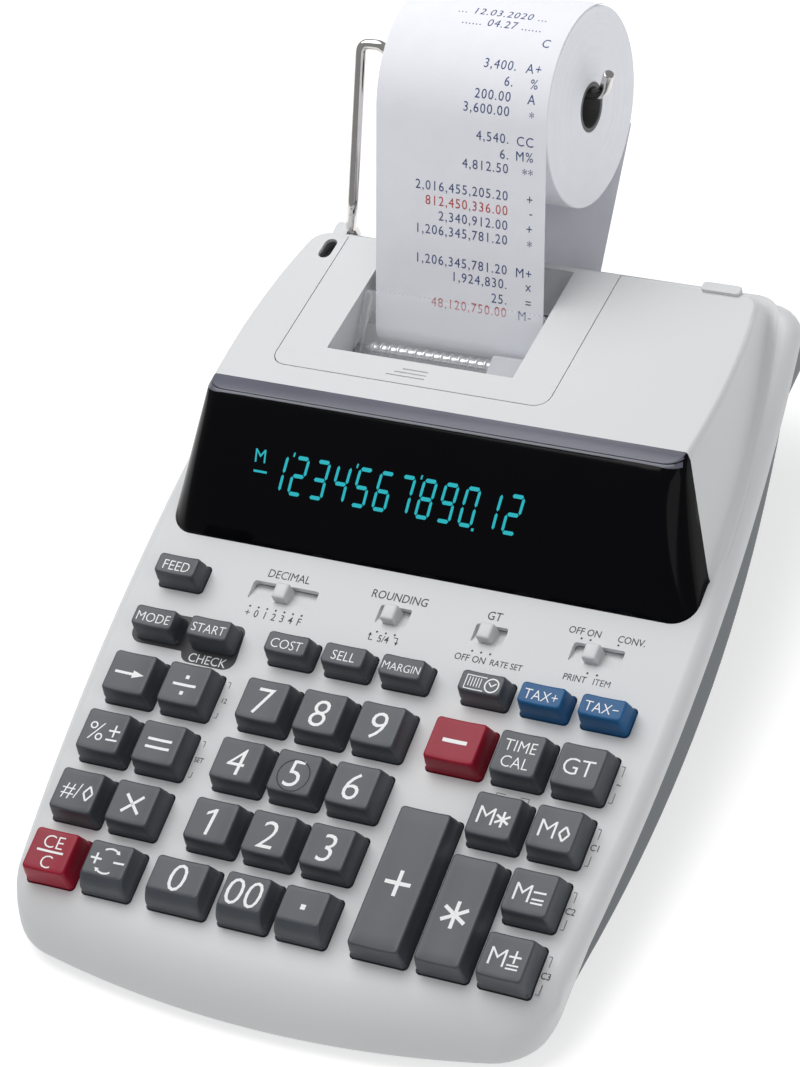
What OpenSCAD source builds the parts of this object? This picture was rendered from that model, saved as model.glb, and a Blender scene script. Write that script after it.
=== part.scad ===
// Desk calculator with a roll printer.
//
// A wedge-shaped desktop calculator: sloping key deck, raised printer hood with a dark display lens
// across its front, and a wire arm behind that carries the paper roll.
//
// Main frame: +X to the user's right, +Y to the rear, +Z up. The origin is on the desk, in the
// middle of the overall length and width.
// Deck frame: the same axes tilted with the key deck. Its Y is 0 at the front of the first key row,
// and its Z is 0 on the deck surface. Everything but the base and the feet is placed in it.

/* [Stance] */
// Slope of the key deck, degrees
deck_tilt = 8; // [7:0.5:9]
// Height of the deck above the desk at the first key row
deck_h = 17.7; // [17:0.1:20]
// Height of the base above the desk
base_h = 3; // [2.5:0.1:3.5]

/* [Housing] */
// Width of the housing at its widest
body_w = 190; // [188:1:194]
// Deck length in front of the first key row
front_reach = 24.5; // [23:0.5:26]
// Deck length from the first key row to the rear wall
rear_reach = 235; // [234:0.5:237]
// Wall thickness of the housing
wall = 2.2; // [2:0.1:2.6]
// Radius of the rounded shoulder along the sides
shoulder_r = 4.5; // [4:0.1:5]
// Radius of the roll of the deck down to its front edge
front_roll_r = 22; // [20:0.5:24]

/* [Hood] */
// Deck length from the first key row to the foot of the lens
lens_foot_y = 121.5; // [120:0.5:122]
// Deck length to the top edge of the hood
hood_y = 163.8; // [163:0.1:165]
// Height of that edge above the deck
hood_z = 26.5; // [26:0.1:27]
// Fall of the hood's top towards the rear, degrees from the deck
hood_fall = 13.2; // [12.8:0.1:13.5]
// Thickness of the lens
lens_t = 2.5; // [2:0.1:3]

/* [Keys] */
// Spacing of the key columns
key_pitch_x = 19.3; // [19:0.1:19.5]
// Spacing of the key rows
key_pitch_y = 20.3; // [20:0.1:20.5]
// Width of a standard key
key_w = 16.2; // [15.8:0.1:16.4]
// Depth of a standard key
key_d = 15.7; // [15.2:0.1:16]
// Height of a key above the deck
key_h = 7.6; // [7:0.1:8]
// Gap round a key in its opening
key_gap = 0.45; // [0.35:0.05:0.5]

/* [Paper] */
// Width of the paper
paper_w = 57.5; // [57:0.5:58]
// Radius of the paper roll
roll_r = 31; // [24:0.5:31]
// Outer radius of the roll's core
core_r = 7.8; // [7.6:0.1:8]
// Inner radius of the roll's core
core_hole_r = 6.4; // [6.2:0.1:6.5]
// Radius of the arm's wire
wire_r = 1.75; // [1.6:0.05:1.8]

/* [Hidden] */
$fn = 48;
eps = 0.01;

// Colours
housing_colour = [0.84, 0.85, 0.85];
base_colour = [0.37, 0.39, 0.41];
key_grey = [0.29, 0.31, 0.33];
key_red = [0.66, 0.13, 0.22];
key_blue = [0.13, 0.36, 0.56];
lens_colour = [0.03, 0.03, 0.04];
paper_colour = [0.95, 0.95, 0.96];
steel_colour = [0.75, 0.74, 0.72];
printer_grey = [0.62, 0.63, 0.66];
board_green = [0.13, 0.38, 0.25];
rubber_black = [0.09, 0.09, 0.10];

// Plan of the housing
side_bow_r = 900;
front_bow_r = 380;
front_corner_r = 20;
rear_corner_r = 12;
widest_y = 100;
parting_z = -4.5;
front_lip_z = -10.5;
skirt_end_z = -14;

// Printer and paper
printer_x = -16.5;
platen_y = 205.7;
platen_z = 1.9;
platen_r = 6;
roll_y = 270.2;
roll_z = 37.3;
paper_t = 0.25;
paper_gap = 0.3;
inlet_y = 237;
inlet_z = -11;
inlet_bend_r = 6;
paper_end_angle = 35;

// The recess in the printer cover, and the cover, in X and along the hood's top
recess_x = [-48.5, 14.8];
recess_s = [17.8, 64.8];
cover_x = [-63.8, 29.7];
cover_s = [8.3, 66.4];
cover_t = 2.2;
well_t = 1.5;
seam = 0.3;

// Arm, deck frame
arm_pivot = [-75, 238.8, -6];
shaft_clearance = 0.05;

// The keys: name, middle in X, front edge in Y, width, depth, colour, slope of the front
left_x = -75.4;
digit_x = -29.3;
right_x = 35.5;
small_w = 14.9;
small_d = 9;
small_y = 83.7;
feed_y = 102.2;
plus_w = 18;
plus_x = 34.5;
plus_d = 46.9;
zero_w = 19.4;
function col(x, i) = x + i * key_pitch_x;
function row(i) = i * key_pitch_y;
KEYS = [
    ["key_feed", left_x, feed_y, small_w, small_d, key_grey, false],
    ["key_mode", left_x, small_y, small_w, small_d, key_grey, false],
    ["key_start", col(left_x, 1), small_y, small_w, small_d, key_grey, false],
    ["key_cost", digit_x, small_y, small_w, small_d, key_grey, false],
    ["key_sell", col(digit_x, 1), small_y, small_w, small_d, key_grey, false],
    ["key_margin", col(digit_x, 2), small_y, small_w, small_d, key_grey, false],
    ["key_clock", right_x, small_y, small_w, small_d, key_grey, false],
    ["key_tax_plus", col(right_x, 1), small_y, small_w, small_d, key_blue, false],
    ["key_tax_minus", col(right_x, 2), small_y, small_w, small_d, key_blue, false],
    ["key_right_shift", left_x, row(3), key_w, key_d, key_grey, false],
    ["key_divide", col(left_x, 1), row(3), key_w, key_d, key_grey, false],
    ["key_7", digit_x, row(3), key_w, key_d, key_grey, false],
    ["key_8", col(digit_x, 1), row(3), key_w, key_d, key_grey, false],
    ["key_9", col(digit_x, 2), row(3), key_w, key_d, key_grey, false],
    ["key_minus", plus_x, row(3), plus_w, key_d, key_red, false],
    ["key_time_calendar", col(right_x, 1), row(3), key_w, key_d, key_grey, false],
    ["key_grand_total", col(right_x, 2), row(3), key_w, key_d, key_grey, false],
    ["key_percent", left_x, row(2), key_w, key_d, key_grey, false],
    ["key_equals", col(left_x, 1), row(2), key_w, key_d, key_grey, false],
    ["key_4", digit_x, row(2), key_w, key_d, key_grey, false],
    ["key_5", col(digit_x, 1), row(2), key_w, key_d, key_grey, false],
    ["key_6", col(digit_x, 2), row(2), key_w, key_d, key_grey, false],
    ["key_memory_total", col(right_x, 1), row(2), key_w, key_d, key_grey, false],
    ["key_memory_subtotal", col(right_x, 2), row(2), key_w, key_d, key_grey, false],
    ["key_item_subtotal", left_x, row(1), key_w, key_d, key_grey, false],
    ["key_multiply", col(left_x, 1), row(1), key_w, key_d, key_grey, false],
    ["key_1", digit_x, row(1), key_w, key_d, key_grey, false],
    ["key_2", col(digit_x, 1), row(1), key_w, key_d, key_grey, false],
    ["key_3", col(digit_x, 2), row(1), key_w, key_d, key_grey, false],
    ["key_memory_minus", col(right_x, 2), row(1), key_w, key_d, key_grey, false],
    ["key_clear", left_x, row(0), key_w, key_d, key_red, false],
    ["key_sign_change", col(left_x, 1), row(0), key_w, key_d, key_grey, true],
    ["key_0", digit_x - (zero_w - key_w) / 2 - 1.3, row(0), zero_w, key_d, key_grey, true],
    ["key_00", col(digit_x, 1), row(0), key_w, key_d, key_grey, true],
    ["key_point", col(digit_x, 2), row(0), key_w, key_d, key_grey, true],
    ["key_plus", plus_x, row(0), plus_w, plus_d, key_grey, false],
    ["key_total", col(right_x, 1), row(0), key_w, row(1) + key_d, key_grey, false],
    ["key_memory_plus", col(right_x, 2), row(0), key_w, key_d, key_grey, false]
];

// The slide switches: name, middle of the pocket in X, pocket width, knob's offset from the middle
SWITCHES = [
    ["switch_decimal", -41.2, 22.4, 0],
    ["switch_rounding", -3.6, 10.4, -0.6],
    ["switch_grand_total", 28.4, 10.4, -0.6],
    ["switch_print", 63.2, 16.4, -1.1]
];
pocket_y = 103.8;
pocket_d = 6.4;
pocket_z = -2;
knob_w = 4.6;

// ---- frames ----

// Reach of the front lip and of the roll in the main frame; the origin is midway between them
front_y = -front_reach * cos(deck_tilt) + 10.2 * sin(deck_tilt);
rear_y = roll_y * cos(deck_tilt) - roll_z * sin(deck_tilt) + roll_r;
origin_y = (front_y + rear_y) / 2;

module on_deck() {
    translate([0, -origin_y, deck_h]) rotate([deck_tilt, 0, 0]) children();
}

// Local frame on the hood's top: X across, Y down the slope from its front edge, Z out of it
module on_hood() {
    translate([0, hood_y, hood_z]) rotate([-hood_fall, 0, 0]) children();
}

// An outline in deck Y and Z, made solid from x0 to x1
module across(x0, x1) {
    translate([x0, 0, 0]) rotate([90, 0, 90]) linear_extrude(x1 - x0) children();
}

function hood_top(y) = hood_z - (y - hood_y) * tan(hood_fall);

// ---- outlines ----

function arc(c, r, a0, a1, n) =
    [for (i = [0:n]) c + r * [cos(a0 + (a1 - a0) * i / n), sin(a0 + (a1 - a0) * i / n)]];
function heading(v) = atan2(v[1], v[0]);

// A closed outline from its right half: joins the mirrored half, and drops repeated points
function outline(right) =
    let (all = concat(right, [for (i = [len(right) - 1:-1:0]) [-right[i][0], right[i][1]]]), n = len(all))
    [for (i = [0:n - 1]) if (norm(all[i] - all[(i + 1) % n]) > 0.05) all[i]];

// Where a circle round p of radius rp meets one round q of radius rq, on the right of p to q
function meet(p, rp, q, rq) =
    let (d = norm(q - p), a = (rp * rp - rq * rq + d * d) / (2 * d), h = sqrt(rp * rp - a * a),
         u = (q - p) / d)
    p + a * u + h * [u[1], -u[0]];

// Plan of the housing: bowed front and sides with round corners, drawn in by side and front
function plan(side = 0, front = 0) =
    let (sc = [body_w / 2 - side_bow_r, widest_y], sr = side_bow_r - side,
         bc = [0, front_bow_r - front_reach], br = front_bow_r - front,
         rc = front_corner_r - (side + front) / 3,
         rr = rear_corner_r - side,
         c = meet(sc, sr - rc, bc, br - rc),
         ry = rear_reach - side - rr,
         r = [sc[0] + sqrt(pow(sr - rr, 2) - pow(ry - widest_y, 2)), ry],
         right = concat(arc(bc, br, -90, heading(c - bc), 6),
                        arc(c, rc, heading(c - bc), heading(c - sc), 5),
                        arc(sc, sr, heading(c - sc), heading(r - sc), 7),
                        arc(r, rr, heading(r - sc), 90, 4)))
    outline(right);

// Plate of that plan with its top at z, to hull from
plate_t = 0.5;
module plan_plate(z, side = 0, front = 0, t = plate_t) {
    translate([0, 0, z - t]) linear_extrude(t) polygon(plan(side, front));
}

// How far the roll of the front edge draws in at height z
function roll_in(z) =
    let (full = sqrt(pow(front_roll_r, 2) - pow(front_roll_r + front_lip_z + 0.3, 2)))
    max(0, full - sqrt(pow(front_roll_r, 2) - pow(front_roll_r + z, 2)));

// ---- upper housing ----

// The rim and deck as a solid. Its shoulder rises in steps.
module rim_solid() {
    hull() {
        plan_plate(front_lip_z + 0.3, t = 3);
        for (z = [-7.5, -shoulder_r]) plan_plate(z, 0, roll_in(z));
        for (a = [30, 60]) {
            z = -shoulder_r * (1 - sin(a));
            plan_plate(z, shoulder_r * (1 - cos(a)), roll_in(z));
        }
        plan_plate(0, shoulder_r, roll_in(0));
    }
}

// The hollow under the deck, in layers: top, inset at the side, inset at the front
module rim_hollow() {
    for (layer = [[-9.4, wall, 4], [-6.8, wall, 6.5], [-shoulder_r + 0.6, wall, 10],
                  [-wall, shoulder_r - 0.6, 18.8]])
        translate([0, 0, skirt_end_z - 2]) linear_extrude(layer[0] - skirt_end_z + 2)
            polygon(plan(layer[1], layer[2]));
}

// Everything above the seam between the two housings
module above_seam() {
    across(-body_w, body_w)
        polygon([[-60, front_lip_z], [-9, front_lip_z], [15, parting_z], [300, parting_z], [300, 80],
                 [-60, 80]]);
}

// Plan of the hood at its foot, and at its top; both run forward of the lens, which trims them
function hood_plan(half, bow_r, front, corner, rear) =
    let (sc = [half - bow_r, 130], sr = bow_r,
         c = [sc[0] + sqrt(pow(sr - corner, 2) - pow(front + corner - 130, 2)), front + corner],
         r = [sc[0] + sqrt(pow(sr - 6, 2) - pow(rear - 6 - 130, 2)), rear - 6],
         right = concat([[0, front]], arc(c, corner, -90, heading(c - sc), 6),
                        arc(sc, sr, heading(c - sc), heading(r - sc), 6),
                        arc(r, 6, heading(r - sc), 90, 4)))
    outline(right);

// Side outline of the hood: curved lens front, sloping top, leaning rear wall
lens_lip = [158, 28.2];
lens_bow_r = 86;
hood_rear = [228.7, hood_top(228.7)];
function hood_side(t) =
    let (foot = [lens_foot_y, 0], mid = (foot + lens_lip) / 2, half = norm(lens_lip - foot) / 2,
         u = (lens_lip - foot) / (2 * half),
         c = mid + sqrt(pow(lens_bow_r, 2) - half * half) * [u[1], -u[0]])
    concat([[rear_reach - t, skirt_end_z], [lens_foot_y + t, skirt_end_z]],
           arc(c, lens_bow_r - t, heading(foot - c) + (t > 0 ? 1 : 0), heading(lens_lip - c), 12),
           [[hood_y, hood_z - t], [hood_rear[0] - t, hood_rear[1] - t]]);

module hood_solid(t) {
    intersection() {
        across(-body_w / 2, body_w / 2) polygon(hood_side(t));
        hull() {
            translate([0, 0, skirt_end_z + 1]) linear_extrude(-skirt_end_z - 1)
                polygon(hood_plan(88.2 - t, 400, lens_foot_y - 1 + t, 14, rear_reach - t));
            translate([0, 0, hood_z]) linear_extrude(2)
                polygon(hood_plan(79.2 - t, 2400, 149 + t, 8, 230 - t));
        }
    }
}

// The lens takes the part of the hood above the deck and in front of a plane that leans back
lens_back_y = 137.4;
module lens_space() {
    across(-body_w, body_w) polygon([[lens_back_y, 0], [lens_back_y + 40, 40], [90, 40], [90, 0]]);
}

// Round posts inside: X, Y
post_r = 3.2;
lower_post_r = 4.6;
board_post_r = 2;
SCREW_POSTS = [[-42.6, 30], [21.4, 30], [-60, 167.7], [60, 167.7]];
BOARD_POSTS = [[-44.3, 8], [21.4, 8], [-44.3, 76], [21.4, 76]];
board_z = -9.6;
board_t = 1.6;

module upper_housing() {
    color(housing_colour) on_deck() {
        difference() {
            union() {
                difference() {
                    intersection() {
                        union() {
                            rim_solid();
                            difference() {
                                hood_solid(0);
                                lens_space();
                            }
                        }
                        above_seam();
                    }
                    rim_hollow();
                    hood_solid(wall);
                }
                housing_posts();
                cover_ledge();
                rear_release_tab();
                arm_lug();
                switch_floors();
            }
            for (k = KEYS) key_opening(k);
            for (s = SWITCHES) knob_slot(s);
            printer_bay();
            arm_rest_slot();
            translate([0, arm_pivot[1], arm_pivot[2]]) rotate([0, 90, 0])
                cylinder(r = wire_r + shaft_clearance, h = 200, center = true);
        }
    }
}

module housing_posts() {
    for (p = BOARD_POSTS)
        translate([p[0], p[1], board_z]) cylinder(r = board_post_r, h = -board_z - wall / 2);
    for (p = SCREW_POSTS)
        difference() {
            intersection() {
                translate([p[0], p[1], -11.5]) cylinder(r = post_r, h = 60);
                across(-body_w, body_w)
                    polygon([[0, -20], [lens_back_y, -20], [240, -20], [240, hood_top(240) - 1],
                             [lens_back_y, hood_top(lens_back_y) - 1], [lens_back_y, -wall / 2],
                             [0, -wall / 2]]);
            }
            translate([p[0], p[1], -12]) cylinder(r = 1.55, h = 8);
        }
}

// Small raised tab on the hood's rear edge
module rear_release_tab() {
    on_hood() translate([57, 64.5, -1]) cube([12.5, 3.6, 2.2]);
}

// Lug on the rear wall that carries the arm's hinge shaft
module arm_lug() {
    across(arm_pivot[0] - 3.5, arm_pivot[0] + 1.5) union() {
        translate([arm_pivot[1], arm_pivot[2]]) circle(r = 3.8);
        translate([rear_reach - 3, -3.8]) square([arm_pivot[1] - rear_reach + 3, 7.6]);
    }
}

module key_opening(k) {
    translate([k[1] - k[3] / 2 - key_gap, k[2] - key_gap, -6])
        cube([k[3] + 2 * key_gap, k[4] + 2 * key_gap, 12]);
}

// Pockets for the slide switches: a ramp that falls to the rear, slotted for the knob's stem
module switch_floors() {
    for (s = SWITCHES)
        across(s[1] - s[2] / 2 - 1.2, s[1] + s[2] / 2 + 1.2)
            polygon([[pocket_y - 1.2, -wall / 2], [pocket_y - 1.2, -wall - 1.4],
                     [pocket_y + pocket_d + 1.4, -wall - 2.6],
                     [pocket_y + pocket_d + 1.4, -wall / 2]]);
}

module knob_slot(s) {
    across(s[1] - s[2] / 2, s[1] + s[2] / 2)
        polygon([[pocket_y, eps], [pocket_y, -0.2], [pocket_y + pocket_d, pocket_z - 1],
                 [pocket_y + pocket_d, eps]]);
    translate([s[1] - s[2] / 2, pocket_y + 2.4, -8]) cube([s[2], 2.2, 8]);
}

// Ledge under the edges of the printer cover
ledge = 1.8;
ledge_t = 1.6;
module cover_ledge() {
    on_hood() difference() {
        translate([cover_x[0] - ledge, cover_s[0] - ledge, -cover_t - ledge_t])
            cube([cover_x[1] - cover_x[0] + 2 * ledge, 57, ledge_t + 1]);
        translate([cover_x[0] + ledge, cover_s[0] + ledge, -20])
            cube([cover_x[1] - cover_x[0] - 2 * ledge, 80, 40]);
    }
}

// Opening in the hood's top for the printer cover, and for the well that hangs from it
module printer_bay() {
    on_hood() translate([cover_x[0] - seam, cover_s[0] - seam, -cover_t - eps])
        cube([cover_x[1] - cover_x[0] + 2 * seam, 80, 20]);
    across(-52, 18)
        polygon([[178, -20], [222, -20], [222, 3], [229.5, 10], [229.5, 40], [178, 40]]);
}

// Blind oblong rest for the free end of the arm, in the hood's top at the left rear
module arm_rest_slot() {
    on_hood() translate([-68.6, 57, -5]) linear_extrude(10) {
        circle(r = 2.1);
        translate([-2.1, 0]) square([4.2, 4.4]);
        translate([0, 4.4]) circle(r = 2.1);
    }
}

// ---- lower housing ----

// Depth of the dark side band below the deck: deepest amidships, running out at both ends
function band_z(y) = parting_z - 12.5 * (1 - pow((y - widest_y) / 112, 2));

function base_plan(t) =
    let (right = concat(arc([62, 3], 14 - t, -90, -10, 5), [[84 - t, 100]],
                        arc([44, 186], 20 - t, 10, 90, 5)))
    outline(right);

module lower_solid(t, lift) {
    hull() {
        on_deck() {
            plan_plate(parting_z + 1, 1 + t, 1 + t, 2);
            for (y = [20, 60])
                intersection() {
                    plan_plate(parting_z, 1 + t, 1 + t, parting_z - band_z(y) - lift);
                    translate([-body_w / 2, y, -60]) cube([body_w, 2 * (widest_y - y), 60]);
                }
            translate([t - 68, rear_reach - 12, lift - 20])
                cube([136 - 2 * t, 11 - t, 12]);
        }
        translate([0, -origin_y, base_h + lift]) linear_extrude(1) polygon(base_plan(t));
    }
}

socket_x = 55;
socket_z = -11.5;
socket_r = 2.75;
socket_length = 9;

module lower_housing() {
    color(base_colour) difference() {
        union() {
            difference() {
                lower_solid(0, 0);
                lower_solid(wall, wall);
                on_deck() above_seam();
            }
            lower_posts();
            on_deck() intersection() {
                translate([socket_x, rear_reach - 1 - wall / 2, socket_z]) rotate([90, 0, 0])
                    cylinder(r = 5, h = socket_length - wall / 2);
                translate([0, 0, -40]) cube([100, 300, 40 + parting_z]);
            }
        }
        on_deck() translate([socket_x, rear_reach + 1, socket_z]) rotate([90, 0, 0])
            cylinder(r = socket_r, h = socket_length + 4);
        on_deck() translate([printer_x - 31, rear_reach - 8, inlet_z - 5.8])
            cube([62, 20, 8.4]);
        for (p = SCREW_POSTS) screw_hole(p);
    }
}

// Posts that rise from the floor to meet the upper housing's screw posts
module lower_posts() {
    intersection() {
        on_deck() for (p = SCREW_POSTS)
            translate([p[0], p[1], -60]) cylinder(r = lower_post_r, h = 60 - 11.6);
        translate([-100, -200, base_h + wall / 2]) cube([200, 400, 60]);
    }
}

module screw_hole(p) {
    on_deck() translate([p[0], p[1], -60]) {
        cylinder(r = 1.6, h = 60);
        cylinder(r = 3.2, h = 60 - 13.6);
    }
}

module case_screws() {
    color(steel_colour) on_deck() for (p = SCREW_POSTS)
        translate([p[0], p[1], -15.6]) {
            difference() {
                cylinder(r = 2.8, h = 1.9);
                translate([-0.4, -2, -eps]) cube([0.8, 4, 0.9]);
                translate([-2, -0.4, -eps]) cube([4, 0.8, 0.9]);
            }
            cylinder(r = 1.45, h = 10.6);
        }
}

FEET = [[-60, 6], [60, 6], [-50, 190], [50, 190]];
module rubber_feet() {
    color(rubber_black) for (p = FEET)
        translate([p[0], p[1] - origin_y, 0]) rotate_extrude()
            polygon([[0, 0], [6, 0], [7, 1], [7, base_h], [0, base_h]]);
}

// ---- display ----

module display_lens() {
    color(lens_colour) on_deck() difference() {
        intersection() {
            hood_solid(0);
            lens_space();
        }
        hood_solid(lens_t);
    }
}

module display_tube() {
    color([0.16, 0.22, 0.22]) on_deck() translate([-14, 146.5, 8]) rotate([37, 0, 0]) {
        translate([-50, -12, -3]) cube([100, 24, 6]);
        for (i = [-7:7])
            translate([i * 6.4, -12.6, -2]) rotate([90, 0, 0]) cylinder(r = 0.3, h = 2.4);
        translate([-50, -13, -3]) cube([100, 1, 1]);
    }
}

// ---- printer ----

module printer_cover() {
    color(housing_colour) on_deck() difference() {
        union() {
            on_hood() difference() {
                translate([cover_x[0], cover_s[0], -cover_t])
                    cube([cover_x[1] - cover_x[0], cover_s[1] - cover_s[0], cover_t]);
                translate([recess_x[0], recess_s[0], -20])
                    cube([recess_x[1] - recess_x[0], recess_s[1] - recess_s[0], 40]);
            }
            for (x = [recess_x[0] - well_t - 0.2, recess_x[1] + 0.2]) well_side(x);
            across(recess_x[0] - well_t / 2, recess_x[1] + well_t / 2) recess_front();
            across(recess_x[0] - well_t / 2, recess_x[1] + well_t / 2) scoop();
        }
        translate([0, window_pivot[0], window_pivot[1]]) rotate([0, 90, 0])
            cylinder(r = window_pin_r + shaft_clearance, h = 200, center = true);
        on_hood() for (i = [0:2])
            translate([-25 + 2.2 * i, 11 + 1.5 * i, -0.35]) cube([13 - 2.2 * i, 0.5, 1]);
    }
}

module well_side(x) {
    across(x, x + well_t)
        polygon([[182, hood_top(182) - 1.4], [224.2, hood_top(224.2) - 1.4], [224.2, 5.5],
                 [196, 5.5], [184, 9]]);
}

module recess_front() {
    polygon([[179.4, hood_top(179.4) - 0.9], [180.4, hood_top(180.4) - 0.9], [184.6, 9.3], [183, 9.3]]);
}

// Curved floor behind the paper that rises to the rear edge
module scoop() {
    c = [213.6, 18.5];
    polygon(concat(arc(c, 16.4, -84, -33, 8), [[227.6, 10.6]], arc(c, 15, -30, -84, 8)));
}

window_pivot = [206.4, 14.2];
window_pin_r = 1;
tear_y = 207.4;
window_x = [-47.7, 14];
module tear_window() {
    tooth = 1.5;
    teeth = floor((window_x[1] - window_x[0]) / tooth);
    slope = 25;
    length = 20;
    color([0.86, 0.89, 0.91]) on_deck() {
        translate([window_x[0], tear_y, 16.4]) rotate([slope, 0, 0])
            translate([0, 0, -1.2]) linear_extrude(1.2)
                polygon(concat([[0, -length], [window_x[1] - window_x[0], -length]],
                               [for (i = [teeth:-1:1], j = [0, 1])
                                   [i * tooth - j * tooth / 2, j == 0 ? -0.7 : 0]],
                               [[0, -0.7]]));
        for (side = [0, 1]) {
            x = side == 0 ? window_x[0] : window_x[1] - 1.2;
            across(x, x + 1.2) polygon([[190.6, 5.9], [190.2, 8.2], [206, 15.4], [207.6, 14.4],
                                        [206, 12]]);
            translate([side == 0 ? window_x[0] - 2 : window_x[1], window_pivot[0], window_pivot[1]])
                rotate([0, 90, 0]) cylinder(r = window_pin_r, h = 2);
        }
    }
}

frame_x = [-56, 23];
screw_axis = [194, 3.2];
guide_axis = [191, -5.5];
module printer_frame() {
    color(printer_grey) on_deck() difference() {
        union() {
            translate([frame_x[0], 172, -16]) cube([frame_x[1] - frame_x[0], 58, 2]);
            for (x = [frame_x[0], frame_x[1] - 2])
                across(x, x + 2) polygon([[174, -14.5], [174, -2], [188, 7], [212, 7], [226, -6],
                                          [226, -14.5]]);
            across(frame_x[0] + 1, frame_x[1] - 1) polygon([[172, -14.5], [172, 6], [173.6, 6],
                                                            [173.6, -14.5]]);
            translate([frame_x[0] + 1, guide_axis[0], guide_axis[1]]) rotate([0, 90, 0])
                cylinder(r = 1.5, h = frame_x[1] - frame_x[0] - 2);
        }
        for (a = [[platen_y, platen_z, 2], [screw_axis[0], screw_axis[1], 1.2]])
            translate([0, a[0], a[1]]) rotate([0, 90, 0])
                cylinder(r = a[2] + shaft_clearance, h = 200, center = true);
    }
}

module platen_roller() {
    color(rubber_black) on_deck() translate([0, platen_y, platen_z]) rotate([0, 90, 0]) {
        translate([0, 0, printer_x - 29.2]) cylinder(r = platen_r, h = 58.4);
        translate([0, 0, frame_x[0] - 2]) cylinder(r = 2, h = frame_x[1] - frame_x[0] + 7);
        translate([0, 0, frame_x[1] + 1.5]) cylinder(r = 5, h = 3);
    }
}

// Lead screw: a shaft with evenly spaced thread crests
screw_lead = 3;
module carriage_screw() {
    color([0.9, 0.9, 0.91]) on_deck()
        translate([0, screw_axis[0], screw_axis[1]]) rotate([0, 90, 0]) {
            translate([0, 0, frame_x[0] - 2]) cylinder(r = 1.2, h = frame_x[1] - frame_x[0] + 7);
            translate([0, 0, -46]) cylinder(r = 1.9, h = 58);
            for (i = [0:18])
                translate([0, 0, -45 + screw_lead * i]) rotate_extrude()
                    polygon([[1.5, 0], [2.4, 0.7], [2.4, 1.1], [1.5, 1.8]]);
            translate([0, 0, frame_x[1] + 1.5]) cylinder(r = 3.6, h = 3);
        }
}

carriage_x = -3;
carriage_w = 14;
module print_carriage() {
    color(printer_grey) on_deck() difference() {
        union() {
            across(carriage_x, carriage_x + carriage_w)
                polygon([[186.2, -9], [186.2, 3], [190, 6.2], [196.6, 6.2], [198.2, 4], [198.2, -3],
                         [194, -9]]);
            translate([carriage_x + 3, 184.2, -2]) rotate([0, 90, 0]) cylinder(r = 1, h = 9.4);
            for (x = [carriage_x, carriage_x + carriage_w - 1.5])
                across(x, x + 1.5) polygon([[186.3, -6], [181.8, -4], [181.8, 0], [186.3, 3]]);
        }
        translate([carriage_x - 1, screw_axis[0], screw_axis[1]]) rotate([0, 90, 0])
            cylinder(r = 2.4 + shaft_clearance, h = carriage_w + 2);
        translate([carriage_x - 1, guide_axis[0], guide_axis[1]]) rotate([0, 90, 0])
            cylinder(r = 1.5 + shaft_clearance, h = carriage_w + 2);
        translate([carriage_x - 1, 184.2, -2]) rotate([0, 90, 0])
            cylinder(r = 1 + shaft_clearance, h = carriage_w + 2);
    }
}

module ink_roller() {
    color([0.25, 0.12, 0.35]) on_deck() translate([carriage_x + 0.4, 184.2, -2])
        rotate([0, 90, 0]) {
            cylinder(r = 1, h = carriage_w - 0.8);
            translate([0, 0, 2]) cylinder(r = 1.9, h = carriage_w - 4.8);
        }
}

// ---- electronics ----

module main_board() {
    color(board_green) on_deck() difference() {
        union() {
            translate([0, 0, board_z - board_t]) linear_extrude(board_t)
                polygon([[-80, 6], [-74, 0], [74, 0], [80, 6], [80, 112], [-80, 112]]);
            for (k = KEYS)
                translate([k[1], k[2] + k[4] / 2, board_z - eps]) cylinder(r = 2.6, h = 0.3);
            for (s = SWITCHES)
                translate([s[1] - 5, pocket_y - 0.4, board_z - eps]) cube([10, 7, 2]);
            translate([-6, 92, board_z - board_t - 1.6]) cube([14, 10, 1.7]);
        }
        for (p = SCREW_POSTS)
            translate([p[0], p[1], board_z - 5]) cylinder(r = post_r + 0.6, h = 10);
    }
}

// ---- paper and arm ----

core_wire = [272.6, 40.7];
ARM_PATH = [
    [arm_pivot[0] - 4.5, arm_pivot[1], arm_pivot[2]],
    [arm_pivot[0] + 3.5, arm_pivot[1], arm_pivot[2]],
    [-71.5, 238.4, 0],
    [-66, 237.5, 12],
    [-66, 240, 16],
    [-66.2, 274.5, 46.5],
    [-65, 277, 48],
    [-62.5, 276.8, 47.4],
    [printer_x - paper_w / 2 - 5, core_wire[0] + 0.4, core_wire[1] + 0.8],
    [printer_x - paper_w / 2 - 2.5, core_wire[0], core_wire[1]],
    [printer_x + paper_w / 2 + 4, core_wire[0], core_wire[1]],
    [printer_x + paper_w / 2 + 6.5, core_wire[0] + 0.5, core_wire[1] + 2],
    [printer_x + paper_w / 2 + 8.5, core_wire[0] + 1.5, core_wire[1] + 10]
];
knuckle_r = wire_r + 0.06;

// Bent wire: straight rods joined by round knuckles
module roll_arm() {
    color(steel_colour) on_deck() {
        for (i = [1:len(ARM_PATH) - 1]) rod(ARM_PATH[i - 1], ARM_PATH[i]);
        for (i = [1:len(ARM_PATH) - 1]) translate(ARM_PATH[i]) sphere(r = knuckle_r);
    }
}

module rod(a, b) {
    v = b - a;
    translate(a) rotate([0, acos(v[2] / norm(v)), atan2(v[1], v[0])])
        cylinder(r = wire_r, h = norm(v));
}

module paper_roll() {
    color(paper_colour) on_deck() translate([printer_x - paper_w / 2, roll_y, roll_z])
        rotate([0, 90, 0]) difference() {
            cylinder(r = roll_r, h = paper_w, $fn = 96);
            translate([0, 0, -1]) cylinder(r = core_r, h = paper_w + 2);
        }
}

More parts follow.
